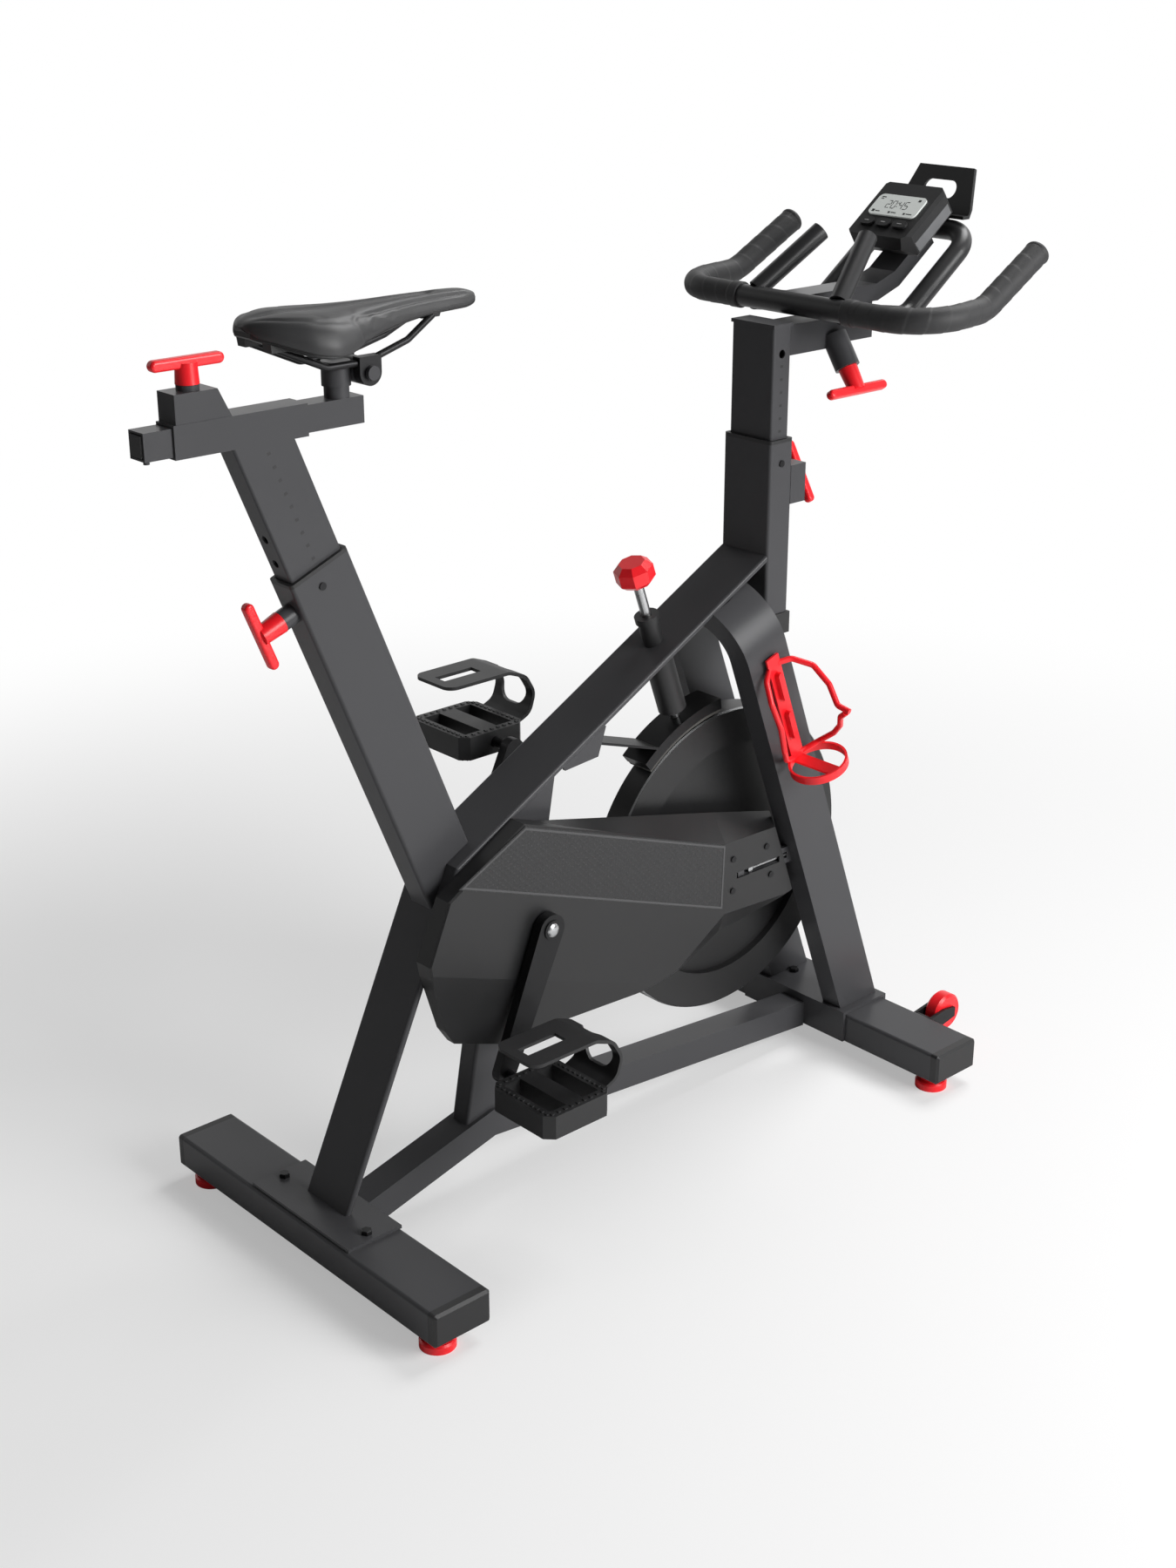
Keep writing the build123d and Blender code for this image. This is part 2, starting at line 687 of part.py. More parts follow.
for hand, side in (("left", 1), ("right", -1)):
    pedal_x = crank_x - side * crank_dir.X * crank_length
    pedal_z = crank_z - side * crank_dir.Z * crank_length
    arm_outer_y = arm_inner_y + crank_thickness
    with BuildPart() as crank_arm:
        with BuildSketch(Plane.XZ.offset(-side * (arm_inner_y + crank_thickness / 2))):
            with Locations((crank_x, crank_z)):
                Circle(crank_boss_radius)
            with Locations((pedal_x, pedal_z)):
                Circle(crank_eye_radius)
            make_hull()
        extrude(amount=crank_thickness / 2, both=True)
        cross_rod(crank_x, crank_z, side * arm_inner_y, side * arm_outer_y, spindle_radius, Mode.SUBTRACT)
        cross_rod(crank_x, crank_z, side * arm_outer_y, side * (arm_outer_y + 1.5), spindle_radius + 3)
        cross_rod(pedal_x, pedal_z, side * arm_outer_y, side * (pedal_y + pedal_half_width - 4),
                  pedal_axle_radius)
    pieces["crank_arm_" + hand] = crank_arm

    with BuildPart() as pedal:
        block((pedal_x - pedal_half_length, pedal_x + pedal_half_length),
              (side * pedal_y - pedal_half_width, side * pedal_y + pedal_half_width),
              (pedal_z - pedal_half_height, pedal_z + pedal_half_height))
        chamfer(pedal.edges().filter_by(Axis.Z), 10)
        for end in (-1, 1):
            inner = pedal_axle_radius + pedal_bar / 2
            outer = pedal_half_length - pedal_bar
            window = sorted((pedal_x + end * inner, pedal_x + end * outer))
            block(window, (side * pedal_y - pedal_half_width + pedal_bar,
                           side * pedal_y + pedal_half_width - pedal_bar),
                  (pedal_z - 40, pedal_z + 40), Mode.SUBTRACT)
        toe_x = pedal_x + pedal_half_length
        toe_line = [(pedal_x - pedal_half_length - 6, pedal_z + toe_height),
                    (toe_x - 10, pedal_z + toe_height),
                    (toe_x + 16, pedal_z + toe_height - 10), (toe_x + 30, pedal_z + toe_height - 34),
                    (toe_x + 22, pedal_z + 14), (toe_x - 2, pedal_z + 4)]
        with BuildSketch(Plane.XZ.offset(-side * pedal_y)) as toe_clip:
            with BuildLine():
                outside = FilletPolyline(*toe_line, radius=toe_bend)
                inside = FilletPolyline(*shifted(toe_line, -toe_strap), radius=toe_bend - toe_strap)
                Line(outside @ 0, inside @ 0)
                Line(outside @ 1, inside @ 1)
            make_face()
        extrude(toe_clip.sketch, amount=toe_half_width, both=True)
        plate_corners = [edge for edge in pedal.edges().filter_by(Axis.Z)
                         if edge.center().Z > pedal_z + pedal_half_height]
        fillet(plate_corners, 0.4 * toe_half_width)
        with BuildSketch(Plane.YZ.offset(toe_x + 2)) as toe_opening:
            with Locations((side * pedal_y, pedal_z + toe_height / 2 + 7)):
                RectangleRounded(2 * toe_half_width - 24, toe_height - 26, 16)
        extrude(toe_opening.sketch, amount=60, mode=Mode.SUBTRACT)
        block((pedal_x - 40, pedal_x + 14), (side * pedal_y - 9, side * pedal_y + 9),
              (pedal_z + toe_height - 20, pedal_z + toe_height + 20), Mode.SUBTRACT)
        cross_rod(pedal_x, pedal_z, side * (pedal_y - pedal_half_width - 1),
                  side * (pedal_y + pedal_half_width - 3),
                  pedal_axle_radius + free_gap, Mode.SUBTRACT)
    pieces["pedal_" + hand] = pedal

# Belt round both pulleys
with BuildPart() as drive_belt:
    for grow, mode in ((free_gap + belt_thickness, Mode.ADD), (free_gap, Mode.SUBTRACT)):
        with BuildSketch(Plane.XZ.offset(-belt_y)):
            with Locations((crank_x, crank_z)):
                Circle(drive_radius + grow)
            with Locations((wheel_x, wheel_z)):
                Circle(driven_radius + grow)
            make_hull()
        extrude(amount=belt_width / 2, both=True, mode=mode)
pieces["drive_belt"] = drive_belt

# Belt guard on the right side


def by_crank(x, z):
    """Side-view point given from the crank's axis."""
    return (crank_x + x, crank_z + z)


def by_wheel(x, z):
    """Side-view point given from the flywheel's axis."""
    return (wheel_x + x, wheel_z + z)


guard_outline = [
    by_crank(-26, 130.5), by_crank(-116, 79.5), by_crank(-133, 69.5), by_crank(-162, 1.5),
    by_crank(-159, -15.5), by_crank(-137, -87.5), by_crank(-123, -108.5), by_crank(-59, -132.5),
    by_crank(160, -137.5), by_wheel(-116, -96), by_wheel(72, -51), by_wheel(102, -44),
    by_wheel(68, 45), by_wheel(38, 47), by_wheel(-48, 49),
]
guard_panel = [by_crank(-121, 81.5), by_crank(-26, 128.5), by_wheel(-48, 47), by_wheel(-51, -38)]
guard_screw_places = [by_wheel(-34, -18), by_wheel(-34, 24), by_wheel(33, -16), by_wheel(24, 24)]
fold_line = [by_crank(46, -85.5), by_wheel(-151, -104)]
guard_plane = Plane(origin=(wheel_x + 38, 0, wheel_z + 47), x_dir=fork_forward, z_dir=fork_up)
ridge_back = [by_crank(-24, 126), by_wheel(-48, 82), by_wheel(60, 54), by_wheel(60, 0), by_crank(-24, 0)]
ridge_front = [by_crank(-24, 126), by_wheel(-48, 48), by_wheel(38, 46), by_wheel(38, 0), by_crank(-24, 0)]
facet_outline = [by_wheel(-196, -137), by_wheel(-47, -45), by_wheel(180, -58), by_wheel(180, -300),
                 by_wheel(-196, -300)]


def guard_body(inset):
    """Add the guard's outline cut to its depth, drawn in by a distance on the visible sides."""
    with BuildSketch(Plane.XZ) as side_view:
        with BuildLine():
            Polyline(*guard_outline, close=True)
        make_face()
        if inset:
            offset(amount=-inset, mode=Mode.REPLACE)
    if inset:
        extrude(side_view.sketch, amount=-guard_face_y)
    else:
        extrude(side_view.sketch, amount=-guard_face_y - guard_round)
        outer_face = side_view.sketch.moved(Location((0, guard_face_y + guard_round, 0)))
        extrude(outer_face, amount=guard_round, taper=45)
    sections = []
    for outline, depth in ((ridge_back, guard_inner_y), (ridge_front, guard_face_y + inset)):
        with BuildSketch(Plane.XZ.offset(-depth)) as section:
            with BuildLine():
                Polyline(*[(x, z - 1.2 * inset) for x, z in outline], close=True)
            make_face()
        sections.append(section.sketch)
    loft(sections, ruled=True)
    with BuildSketch(guard_plane) as top_view:
        with BuildLine():
            Polyline((-900, guard_face_y + inset), (-0.7 * inset, guard_face_y + inset),
                     (28 - 0.7 * inset, guard_face_y + 40 + inset), (-200, guard_inner_y + inset),
                     (-900, guard_inner_y + inset), close=True)
        make_face()
    extrude(top_view.sketch, amount=900, both=True, mode=Mode.INTERSECT)
    fold_start = Vector(fold_line[0][0], guard_face_y + inset, fold_line[0][1])
    fold_run = Vector(fold_line[1][0] - fold_line[0][0], 0, fold_line[1][1] - fold_line[0][1]).normalized()
    fold_side = fold_run.cross(Vector(0, 1, 0))
    fold_out = Vector(0, -cos(radians(guard_fold)), 0) - fold_side * sin(radians(guard_fold))
    with BuildSketch(Plane(origin=fold_start, x_dir=fold_run, z_dir=fold_out)) as lower_face:
        Rectangle(1500, 1500)
    extrude(lower_face.sketch, amount=150, mode=Mode.SUBTRACT)
    with BuildSketch(Plane.XZ.offset(-guard_face_y - inset)) as facet:
        with BuildLine():
            Polyline(*facet_outline, close=True)
        make_face()
        if inset:
            offset(amount=0.3 * inset, mode=Mode.REPLACE)
    extrude(facet.sketch, amount=-20, taper=facet_taper, mode=Mode.SUBTRACT)


with BuildPart() as guard_cavity:
    guard_body(guard_wall)

with BuildPart() as belt_guard_cover:
    guard_body(0)
    add(guard_cavity.part, mode=Mode.SUBTRACT)
    slab(guard_panel, panel_raise, guard_face_y)
    add(guard_cavity.part, mode=Mode.SUBTRACT)
    cross_rod(crank_x, crank_z, guard_face_y - 5, guard_face_y + 5, spindle_radius + 6, Mode.SUBTRACT)
    block((wheel_x - 27, wheel_x + 48), (guard_face_y - 5, guard_face_y + 5),
          (wheel_z - slot_half_height, wheel_z + slot_half_height), Mode.SUBTRACT)
    for screw_x, screw_z in guard_screw_places:
        cross_rod(screw_x, screw_z, guard_face_y - 5, guard_face_y + 5, screw_radius, Mode.SUBTRACT)
    block((wheel_x + 30, wheel_x + 130), (-dropout_y - dropout_thickness - 1, -dropout_y + 1),
          (wheel_z - dropout_half_height - 1, wheel_z + dropout_half_height + 1), Mode.SUBTRACT)
pieces["belt_guard_cover"] = belt_guard_cover

with BuildPart() as belt_guard_back:
    add(guard_cavity.part)
    block((-900, 900), (guard_back_y, 0), (-900, 900), Mode.SUBTRACT)
    block((-900, 900), (-900, guard_back_y - guard_back_thickness), (-900, 900), Mode.SUBTRACT)
    cross_rod(crank_x, crank_z, -100, 0, shell_radius + 3, Mode.SUBTRACT)
    cross_rod(wheel_x, wheel_z, -100, 0, driven_radius + 3, Mode.SUBTRACT)
pieces["belt_guard_back"] = belt_guard_back

# Small screws that hold the bushes and the belt guard
with BuildPart() as small_screws:
    screw_heads = [(on_seat(-5, seat_screw_down), tube_deep / 2),
                   (Vector(mast_centre, 0, mast_top - mast_screw_down), tube_wide / 2)]
    screw_heads += [(Vector(x, 0, z), -guard_face_y) for x, z in guard_screw_places]
    for place, face in screw_heads:
        rod(place - Vector(0, face, 0), place - Vector(0, face + 1.5, 0), screw_head_radius)
        rod(place - Vector(0, face, 0), place - Vector(0, face - tube_wall, 0), screw_radius)
pieces["small_screws"] = small_screws

# Seat post with the slide sleeve and the clamp block
with BuildPart() as seat_post:
    hollow(seat_plane, post_wide, post_deep, post_wall, -seat_post_below, 220, 3)
    block((-700, -200), (-100, 100), (slide_floor_z, 1200), Mode.SUBTRACT)
    block((slide_sleeve_rear, slide_sleeve_front), (-sleeve_half, sleeve_half),
          (slide_floor_z, sleeve_top))
    slab([(clamp_screw_x - 24, sleeve_top), (clamp_screw_x + 37, sleeve_top),
          (clamp_screw_x + 23, clamp_block_top),
          (clamp_screw_x - 24, clamp_block_top)], sleeve_half - 0.5)
    rod((clamp_screw_x, 0, clamp_block_top), (clamp_screw_x, 0, clamp_block_top + 5), collar_radius)
    block((slide_sleeve_rear - 1, slide_sleeve_front + 1),
          (-slide_wide / 2 - sliding_gap, slide_wide / 2 + sliding_gap),
          (slide_z0 - sliding_gap, slide_z1 + sliding_gap), Mode.SUBTRACT)
    rod((clamp_screw_x, 0, slide_z1), (clamp_screw_x, 0, clamp_block_top + 10), pin_radius + free_gap,
        Mode.SUBTRACT)
    for step in range(4):
        rod(on_seat(-post_wide, seat_pin_down - 28 * step), on_seat(0, seat_pin_down - 28 * step),
            pin_radius + 0.5, Mode.SUBTRACT)
pieces["seat_post"] = seat_post

with BuildPart() as seat_height_handle:
    tee(on_seat(-tube_wide / 2 - 16 - free_gap, seat_pin_down), -seat_forward, seat_up, 26, 78,
        tube_wide / 2 + 16 - post_wide / 2)
pieces["seat_height_handle"] = seat_height_handle

with BuildPart() as seat_slide_handle:
    clamp_base = Vector(clamp_screw_x, 0, clamp_block_top + 5 + free_gap)
    tee(clamp_base, Vector(0, 0, 1), Vector(1, 0, 0), 20, 79, clamp_block_top + 5 - slide_z1)
pieces["seat_slide_handle"] = seat_slide_handle

# Saddle slide with its stub and the barrel that the saddle tilts on
with BuildPart() as saddle_slide:
    block((slide_rear, slide_front), (-slide_wide / 2, slide_wide / 2), (slide_z0, slide_z1))
    block((slide_rear - 1, slide_front - slide_wall),
          (-slide_wide / 2 + slide_wall, slide_wide / 2 - slide_wall),
          (slide_z0 + slide_wall, slide_z1 - slide_wall), Mode.SUBTRACT)
    rod((stub_x, 0, slide_z1), (stub_x, 0, stub_top - 4), stub_radius)
    rod((stub_x, 0, tilt_z - barrel_radius), (stub_x, 0, stub_top), stub_sleeve_radius)
    cross_rod(tilt_x, tilt_z, -barrel_half_length, barrel_half_length, barrel_radius)
    cross_rod(tilt_x, tilt_z, -barrel_half_length - 16, barrel_half_length + 16, 4)
    for side in (-1, 1):
        cross_rod(tilt_x, tilt_z, side * (barrel_half_length + 12.5), side * (barrel_half_length + 17), 7)
    rod((slide_rear + 9, 0, slide_z0 - 5), (slide_rear + 9, 0, slide_z0), 3)
pieces["saddle_slide"] = saddle_slide

rail_z = tilt_z + rail_lift
with BuildPart() as saddle_rails:
    for side in (-1, 1):
        bent_tube([(tilt_x - 110, side * rail_y, rail_z + 27),
                   (tilt_x - 48, side * rail_y, rail_z),
                   (tilt_x, side * rail_y, rail_z),
                   (tilt_x + 52, side * (rail_y - 3), rail_z + 14),
                   (tilt_x + 88, side * (rail_y - 9), rail_z + 33)], 4 * rail_radius, rail_radius)
pieces["saddle_rails"] = saddle_rails

with BuildPart() as rail_clamps:
    for side in (-1, 1):
        cross_rod(tilt_x, tilt_z, side * rail_y - 5.6, side * rail_y + 5.6, barrel_radius)
        block((tilt_x - barrel_radius, tilt_x + barrel_radius), (side * rail_y - 5.6, side * rail_y + 5.6),
              (tilt_z, tilt_z + 16))
        cross_rod(tilt_x, tilt_z, side * (rail_y - 10), side * (rail_y + 10), 4 + free_gap, Mode.SUBTRACT)
    add(saddle_rails.part, mode=Mode.SUBTRACT)
pieces["rail_clamps"] = rail_clamps

# Saddle pad, lofted through sections with a crown, drawn-in sides and a middle channel
saddle_sections = [
    (tilt_x - 132, 0.30, -3, 13),
    (tilt_x - 120, 0.68, -1.5, 20),
    (tilt_x - 90, 0.96, 0, 31),
    (tilt_x - 60, 0.985, -1, 37),
    (tilt_x - 25, 0.77, -2, 35),
    (tilt_x + 15, 0.48, -2, 26),
    (tilt_x + 84, 0.29, -1, 15),
    (tilt_x + 134, 0.22, -1.5, 13.5),
    (tilt_x + 149, 0.11, -5, 8),
]


def saddle_section(station, share, rise, depth, grow):
    """Cross-section of the saddle at one station along its length."""
    half = saddle_half_width * share
    top = saddle_top + rise
    low = top - depth
    groove = half * 0.16
    dip = min(4.0, depth * 0.12)
    if grow:
        with BuildSketch(Plane.YZ.offset(station)) as section:
            with Locations((0, low - saddle_base_thickness / 2 + 3)):
                Rectangle(2 * half * 0.80, saddle_base_thickness + 6)
        return section.sketch
    with BuildSketch(Plane.YZ.offset(station)) as section:
        with BuildLine():
            Line((-half * 0.9, low), (half * 0.9, low))
            ThreePointArc((half * 0.9, low), (half, low + depth * 0.35),
                          (half * 0.88, low + depth * 0.72))
            ThreePointArc((half * 0.88, low + depth * 0.72), (half * 0.6, top - depth * 0.06),
                          (groove, top))
            ThreePointArc((groove, top), (0, top - dip), (-groove, top))
            ThreePointArc((-groove, top), (-half * 0.6, top - depth * 0.06),
                          (-half * 0.88, low + depth * 0.72))
            ThreePointArc((-half * 0.88, low + depth * 0.72), (-half, low + depth * 0.35),
                          (-half * 0.9, low))
        make_face()
    return section.sketch


with BuildPart() as saddle_pad:
    loft([saddle_section(*row, False) for row in saddle_sections])
pieces["saddle_pad"] = saddle_pad

with BuildPart() as saddle_base:
    loft([saddle_section(*row, True) for row in saddle_sections[:-1]], ruled=True)
    for side in (-1, 1):
        block((tilt_x - 120, tilt_x - 98), sorted((side * (rail_y - 7), side * (rail_y + 7))),
              (rail_z + 19, rail_z + 34))
    block((tilt_x + 74, tilt_x + 100), (-rail_y + 5, rail_y - 5), (rail_z + 29, rail_z + 39))
    add(saddle_pad.part, mode=Mode.SUBTRACT)
    add(saddle_rails.part, mode=Mode.SUBTRACT)
pieces["saddle_base"] = saddle_base

# Handlebar post with the stem sleeve and its clamp collar
with BuildPart() as handlebar_post:
    hollow(mast_plane, post_wide, post_deep, post_wall, bar_post_bottom - mast_top,
           bar_post_top - mast_top, 3)
    block((mast_centre - post_deep / 2 - 1, mast_centre + post_deep / 2 + 1),
          (-post_wide / 2 - 1, post_wide / 2 + 1),
          (bar_post_top, bar_post_top + post_plate))
    post_front = mast_centre + post_deep / 2
    block((post_front, stem_front), (-stem_half, stem_half), (stem_floor_z, stem_top))
    rod(stem_side - stem_out * 2, stem_side + stem_out * stem_collar_length, stem_collar_radius)
    block((post_front, stem_front + 1),
          (-stem_slide_wide / 2 - sliding_gap, stem_slide_wide / 2 + sliding_gap),
          (stem_z0 - sliding_gap, stem_z1 + sliding_gap), Mode.SUBTRACT)
    rod(stem_side - stem_out * 4, stem_side + stem_out * 90, pin_radius + free_gap, Mode.SUBTRACT)
    cross_rod(mast_centre, bar_post_top - 30, -post_wide, 0, 5, Mode.SUBTRACT)
    for step in range(4):
        hole_z = mast_pin_z + 28 * step
        rod((mast_centre, 0, hole_z), (mast_centre + 30, 0, hole_z), pin_radius + 0.5, Mode.SUBTRACT)
pieces["handlebar_post"] = handlebar_post

with BuildPart() as bar_height_handle:
    height_base = Vector(mast_front + mast_block_depth + 8 + free_gap, 0, mast_pin_z)
    tee(height_base, Vector(1, 0, 0), Vector(0, 0.51, 0.86), 22, 78,
        mast_block_depth + 8 + (tube_deep - post_deep) / 2)
pieces["bar_height_handle"] = bar_height_handle

with BuildPart() as bar_slide_handle:
    tee(stem_side + stem_out * (stem_collar_length + free_gap), stem_out, Vector(1, 0, 0), 28, 98,
        stem_collar_length)
pieces["bar_slide_handle"] = bar_slide_handle

with BuildPart() as handlebar_slide:
    half = stem_slide_wide / 2
    block((stem_slide_rear, stem_slide_front), (-half, half), (stem_z0, stem_z1))
    block((stem_slide_rear - 1, stem_slide_front - 3), (-half + 2.5, half - 2.5),
          (stem_z0 + 2.5, stem_z1 - 2.5), Mode.SUBTRACT)
    block((stem_block_rear, stem_slide_front - 2), (-half, half), (stem_z1, arm_top_z - arm_thickness))
pieces["handlebar_slide"] = handlebar_slide

# Handlebar: outer bar, inner stubs and front loop
corner = (bar_x, bar_corner_y, bar_z)
knee = (bar_x + 103, bar_corner_y - 2, bar_z + 5)
tip = (bar_x + 204, bar_corner_y - 6, bar_z + 61)
tip_run = Vector(tip) - Vector(knee)
bare_tip = tuple(Vector(tip) - tip_run * (grip_end / tip_run.length))


def mirrored(point):
    """The same point on the other side of the bike."""
    return (point[0], -point[1], point[2])


bar_path = [bare_tip, knee, corner, mirrored(corner), mirrored(knee), mirrored(bare_tip)]
near = (bar_x + 6, loop_y, bar_z - 4)
low = (bar_x + 120, loop_y, bar_z - 20)
far = (bar_x + 236, loop_y, bar_z + 65)
loop_path = [near, low, far, mirrored(far), mirrored(low), mirrored(near)]

with BuildPart() as handlebar:
    for wall, mode in ((0, Mode.ADD), (handlebar_wall, Mode.SUBTRACT)):
        bent_tube(bar_path, bar_bend, bar_radius - wall, mode)
        bent_tube(loop_path, loop_bend, loop_radius - wall, mode)
        for side in (-1, 1):
            stub_start = Vector(bar_x + 5, side * 64, bar_z + 8)
            stub_end = Vector(bar_x + 83, side * 36, bar_z + 71)
            stub_run = (stub_end - stub_start).normalized()
            rod(stub_start, stub_end - stub_run * wall, stub_bar_radius - wall, mode)
pieces["handlebar"] = handlebar

with BuildPart() as grips:
    for flip in (tuple, mirrored):
        start = (bar_x, loop_y + loop_radius + grip_gap, bar_z)
        bent_tube([flip(start), flip(corner), flip(knee), flip(tip)], bar_bend, grip_radius)
    bent_tube(bar_path, bar_bend, bar_radius, Mode.SUBTRACT)
pieces["grips"] = grips

# Console on its arm
tilt_along = across(console_tilt)
tilt_normal = unit(console_tilt)
arm_bend = Vector(bar_x + 154, 0, arm_top_z + 11)
arm_tip = arm_bend + tilt_along * 72
arm_line = [(arm_tip.X, arm_tip.Z), (arm_bend.X, arm_bend.Z), (arm_bend.X - 32, arm_top_z),
            (bar_x, arm_top_z)]


def on_console(along, rise):
    """Side-view point above the tilted part of the console arm."""
    place = arm_bend + tilt_along * along + tilt_normal * rise
    return (place.X, place.Z)


console_plane = Plane(origin=arm_bend + tilt_normal * console_rise, x_dir=tilt_along, z_dir=tilt_normal)

with BuildPart() as console_arm:
    slab(strip(arm_line, arm_thickness), arm_half_width)
    cross_rod(bar_x, bar_z, -arm_half_width - 1, arm_half_width + 1, bar_radius, Mode.SUBTRACT)
    block((bar_x - 50, bar_x), (-arm_half_width - 1, arm_half_width + 1), (bar_z - 50, bar_z + 50),
          Mode.SUBTRACT)
pieces["console_arm"] = console_arm

with BuildPart() as console_housing:
    slab([on_console(12, console_rise), on_console(99, console_rise), on_console(104, console_rise - 15),
          on_console(96, console_neck), on_console(22, console_neck), on_console(8, console_rise - 18)],
         console_half_width)
    with BuildSketch(console_plane) as housing_plan:
        with Locations((56, 0)):
            Rectangle(97, 2 * console_half_width + 1)
        chamfer(housing_plan.vertices(), 13)
    extrude(housing_plan.sketch, amount=100, both=True, mode=Mode.INTERSECT)
    side_faces = console_housing.faces().filter_by(Axis.Y)
    side_edges = [edge for face in side_faces for edge in face.edges()
                  if abs((edge % 0.5).dot(tilt_along)) > 0.95]
    chamfer(side_edges, 6)
    slab([on_console(40, 0), on_console(66, 0), on_console(72, console_neck + 5),
          on_console(34, console_neck + 5)],
         arm_half_width - 3)
    with BuildSketch(console_plane) as screen_window:
        with Locations((60.7, 0)):
            RectangleRounded(34, 2 * screen_half_width, 7)
    extrude(amount=-screen_thickness, mode=Mode.SUBTRACT)
    with BuildSketch(console_plane) as button_pockets:
        with Locations((31, -button_pitch), (31, 0), (31, button_pitch)):
            SlotOverall(3.4 * button_radius + 2 * free_gap, 2 * button_radius + 2 * free_gap, rotation=90)
    extrude(amount=-5, mode=Mode.SUBTRACT)
pieces["console_housing"] = console_housing

with BuildPart() as console_screen:
    with BuildSketch(console_plane.offset(-screen_thickness)) as screen_face:
        with Locations((60.7, 0)):
            RectangleRounded(34, 2 * screen_half_width, 7)
    extrude(amount=screen_thickness)
pieces["console_screen"] = console_screen

for name, place in (("left", button_pitch), ("middle", 0.0), ("right", -button_pitch)):
    with BuildPart() as console_button:
        with BuildSketch(console_plane.offset(-5 + free_gap + button_travel)) as button_face:
            with Locations((31, place)):
                SlotOverall(3.4 * button_radius, 2 * button_radius, rotation=90)
        extrude(amount=5 - free_gap + 0.8)
    pieces["console_button_" + name] = console_button

# Phone holder on the front of the loop
holder_z = far[2] + loop_radius
with BuildPart() as phone_holder:
    foot_x = far[0] + 7
    slab(strip([(foot_x + 26, holder_z + 56), (foot_x, holder_z + 2), (foot_x - 12, holder_z + 2)],
               -phone_thickness),
         phone_half_width + phone_flare)
    slab([(foot_x - 12, holder_z + 3), (foot_x + 2, holder_z + 3), (foot_x + 4, holder_z - 10),
          (foot_x - 14, holder_z - 10)],
         24)
    bent_tube(loop_path, loop_bend, loop_radius, Mode.SUBTRACT)
    with BuildSketch(Plane.YZ.offset(foot_x - 60)) as cutout:
        with Locations((0, holder_z + 32)):
            SlotOverall(50, 20)
        for side in (-1, 1):
            with BuildLine():
                Polyline((side * phone_half_width, holder_z + 60),
                         (side * (phone_half_width + phone_flare), holder_z + 12),
                         (side * (phone_half_width + 2 * phone_flare), holder_z + 12),
                         (side * (phone_half_width + 2 * phone_flare), holder_z + 60), close=True)
            make_face()
    extrude(amount=160, mode=Mode.SUBTRACT)
pieces["phone_holder"] = phone_holder

# Brake: knob, rod, guide through the beam, hinged shoe and pad
rod_end = brake_reach - shoe_outer - free_gap
with BuildPart() as brake_guide:
    rod(on_brake(58), on_brake(140), 12.5)
    rod(on_brake(58), on_brake(66), 14.5)
    rod(on_brake(106), on_brake(rod_end - 12), 17)
    rod(on_brake(50), on_brake(rod_end), rod_radius + sliding_gap, Mode.SUBTRACT)
    slab(beam_outline, beam_width / 2, mode=Mode.SUBTRACT)
    rod(on_brake(66), on_brake(140), 12.5)
    rod(on_brake(50), on_brake(rod_end), rod_radius + sliding_gap, Mode.SUBTRACT)
pieces["brake_guide"] = brake_guide

with BuildPart() as brake_rod:
    rod(on_brake(0), on_brake(rod_end), rod_radius)
pieces["brake_rod"] = brake_rod

with BuildPart() as resistance_knob:
    with BuildSketch(Plane(origin=on_brake(15), z_dir=-brake_down)) as knob_section:
        RegularPolygon(knob_across / 2, 8, major_radius=False)
    extrude(amount=28)
    chamfer(resistance_knob.faces().sort_by(Axis.Z)[-1].edges(), knob_across / 6)
    chamfer(resistance_knob.faces().sort_by(Axis.Z)[0].edges(), knob_across / 7)
    rod(on_brake(-1), on_brake(30), rod_radius + free_gap, Mode.SUBTRACT)
pieces["resistance_knob"] = resistance_knob


def arc_band(inner, outer, half_width):
    """Add a curved band about the flywheel's axis, over the brake's part of the rim."""
    first = radians(95)
    middle = radians(113)
    last = radians(131)
    with BuildSketch(Plane.XZ) as band:
        with BuildLine():
            ends = []
            for radius in (inner, outer):
                marks = [(wheel_x + radius * cos(turn), wheel_z + radius * sin(turn))
                         for turn in (first, middle, last)]
                ThreePointArc(*marks)
                ends.append(marks)
            Line(ends[0][0], ends[1][0])
            Line(ends[0][2], ends[1][2])
        make_face()
    extrude(band.sketch, amount=half_width, both=True)


with BuildPart() as brake_shoe:
    arc_band(shoe_inner, shoe_outer, shoe_half_width)
    leaf_end = (wheel_x + shoe_outer * cos(radians(124)), wheel_z + shoe_outer * sin(radians(124)))
    slab(strip([leaf_end, (hinge_x, hinge_z + 4 + leaf_thickness)], leaf_thickness), shoe_half_width)
    cross_rod(hinge_x, hinge_z, -shoe_half_width, shoe_half_width, hinge_pin_radius + 4)
    cross_rod(hinge_x, hinge_z, -shoe_half_width, shoe_half_width, hinge_pin_radius + free_gap,
              Mode.SUBTRACT)
pieces["brake_shoe"] = brake_shoe

with BuildPart() as brake_pad:
    arc_band(pad_inner, shoe_inner, shoe_half_width - 2)
pieces["brake_pad"] = brake_pad

# Bottle cage on the right fork leg
cage_y = -fork_outer - cage_spacer
cage_axis_y = cage_y - cage_strap - cage_radius
cage_foot = fork_foot + fork_up * (fork_length - cage_drop)


def on_cage(up):
    """Drawing plane square to the fork leg, at a height along it from the cage's middle."""
    return Plane(origin=cage_foot + fork_up * up, x_dir=fork_forward, z_dir=fork_up)


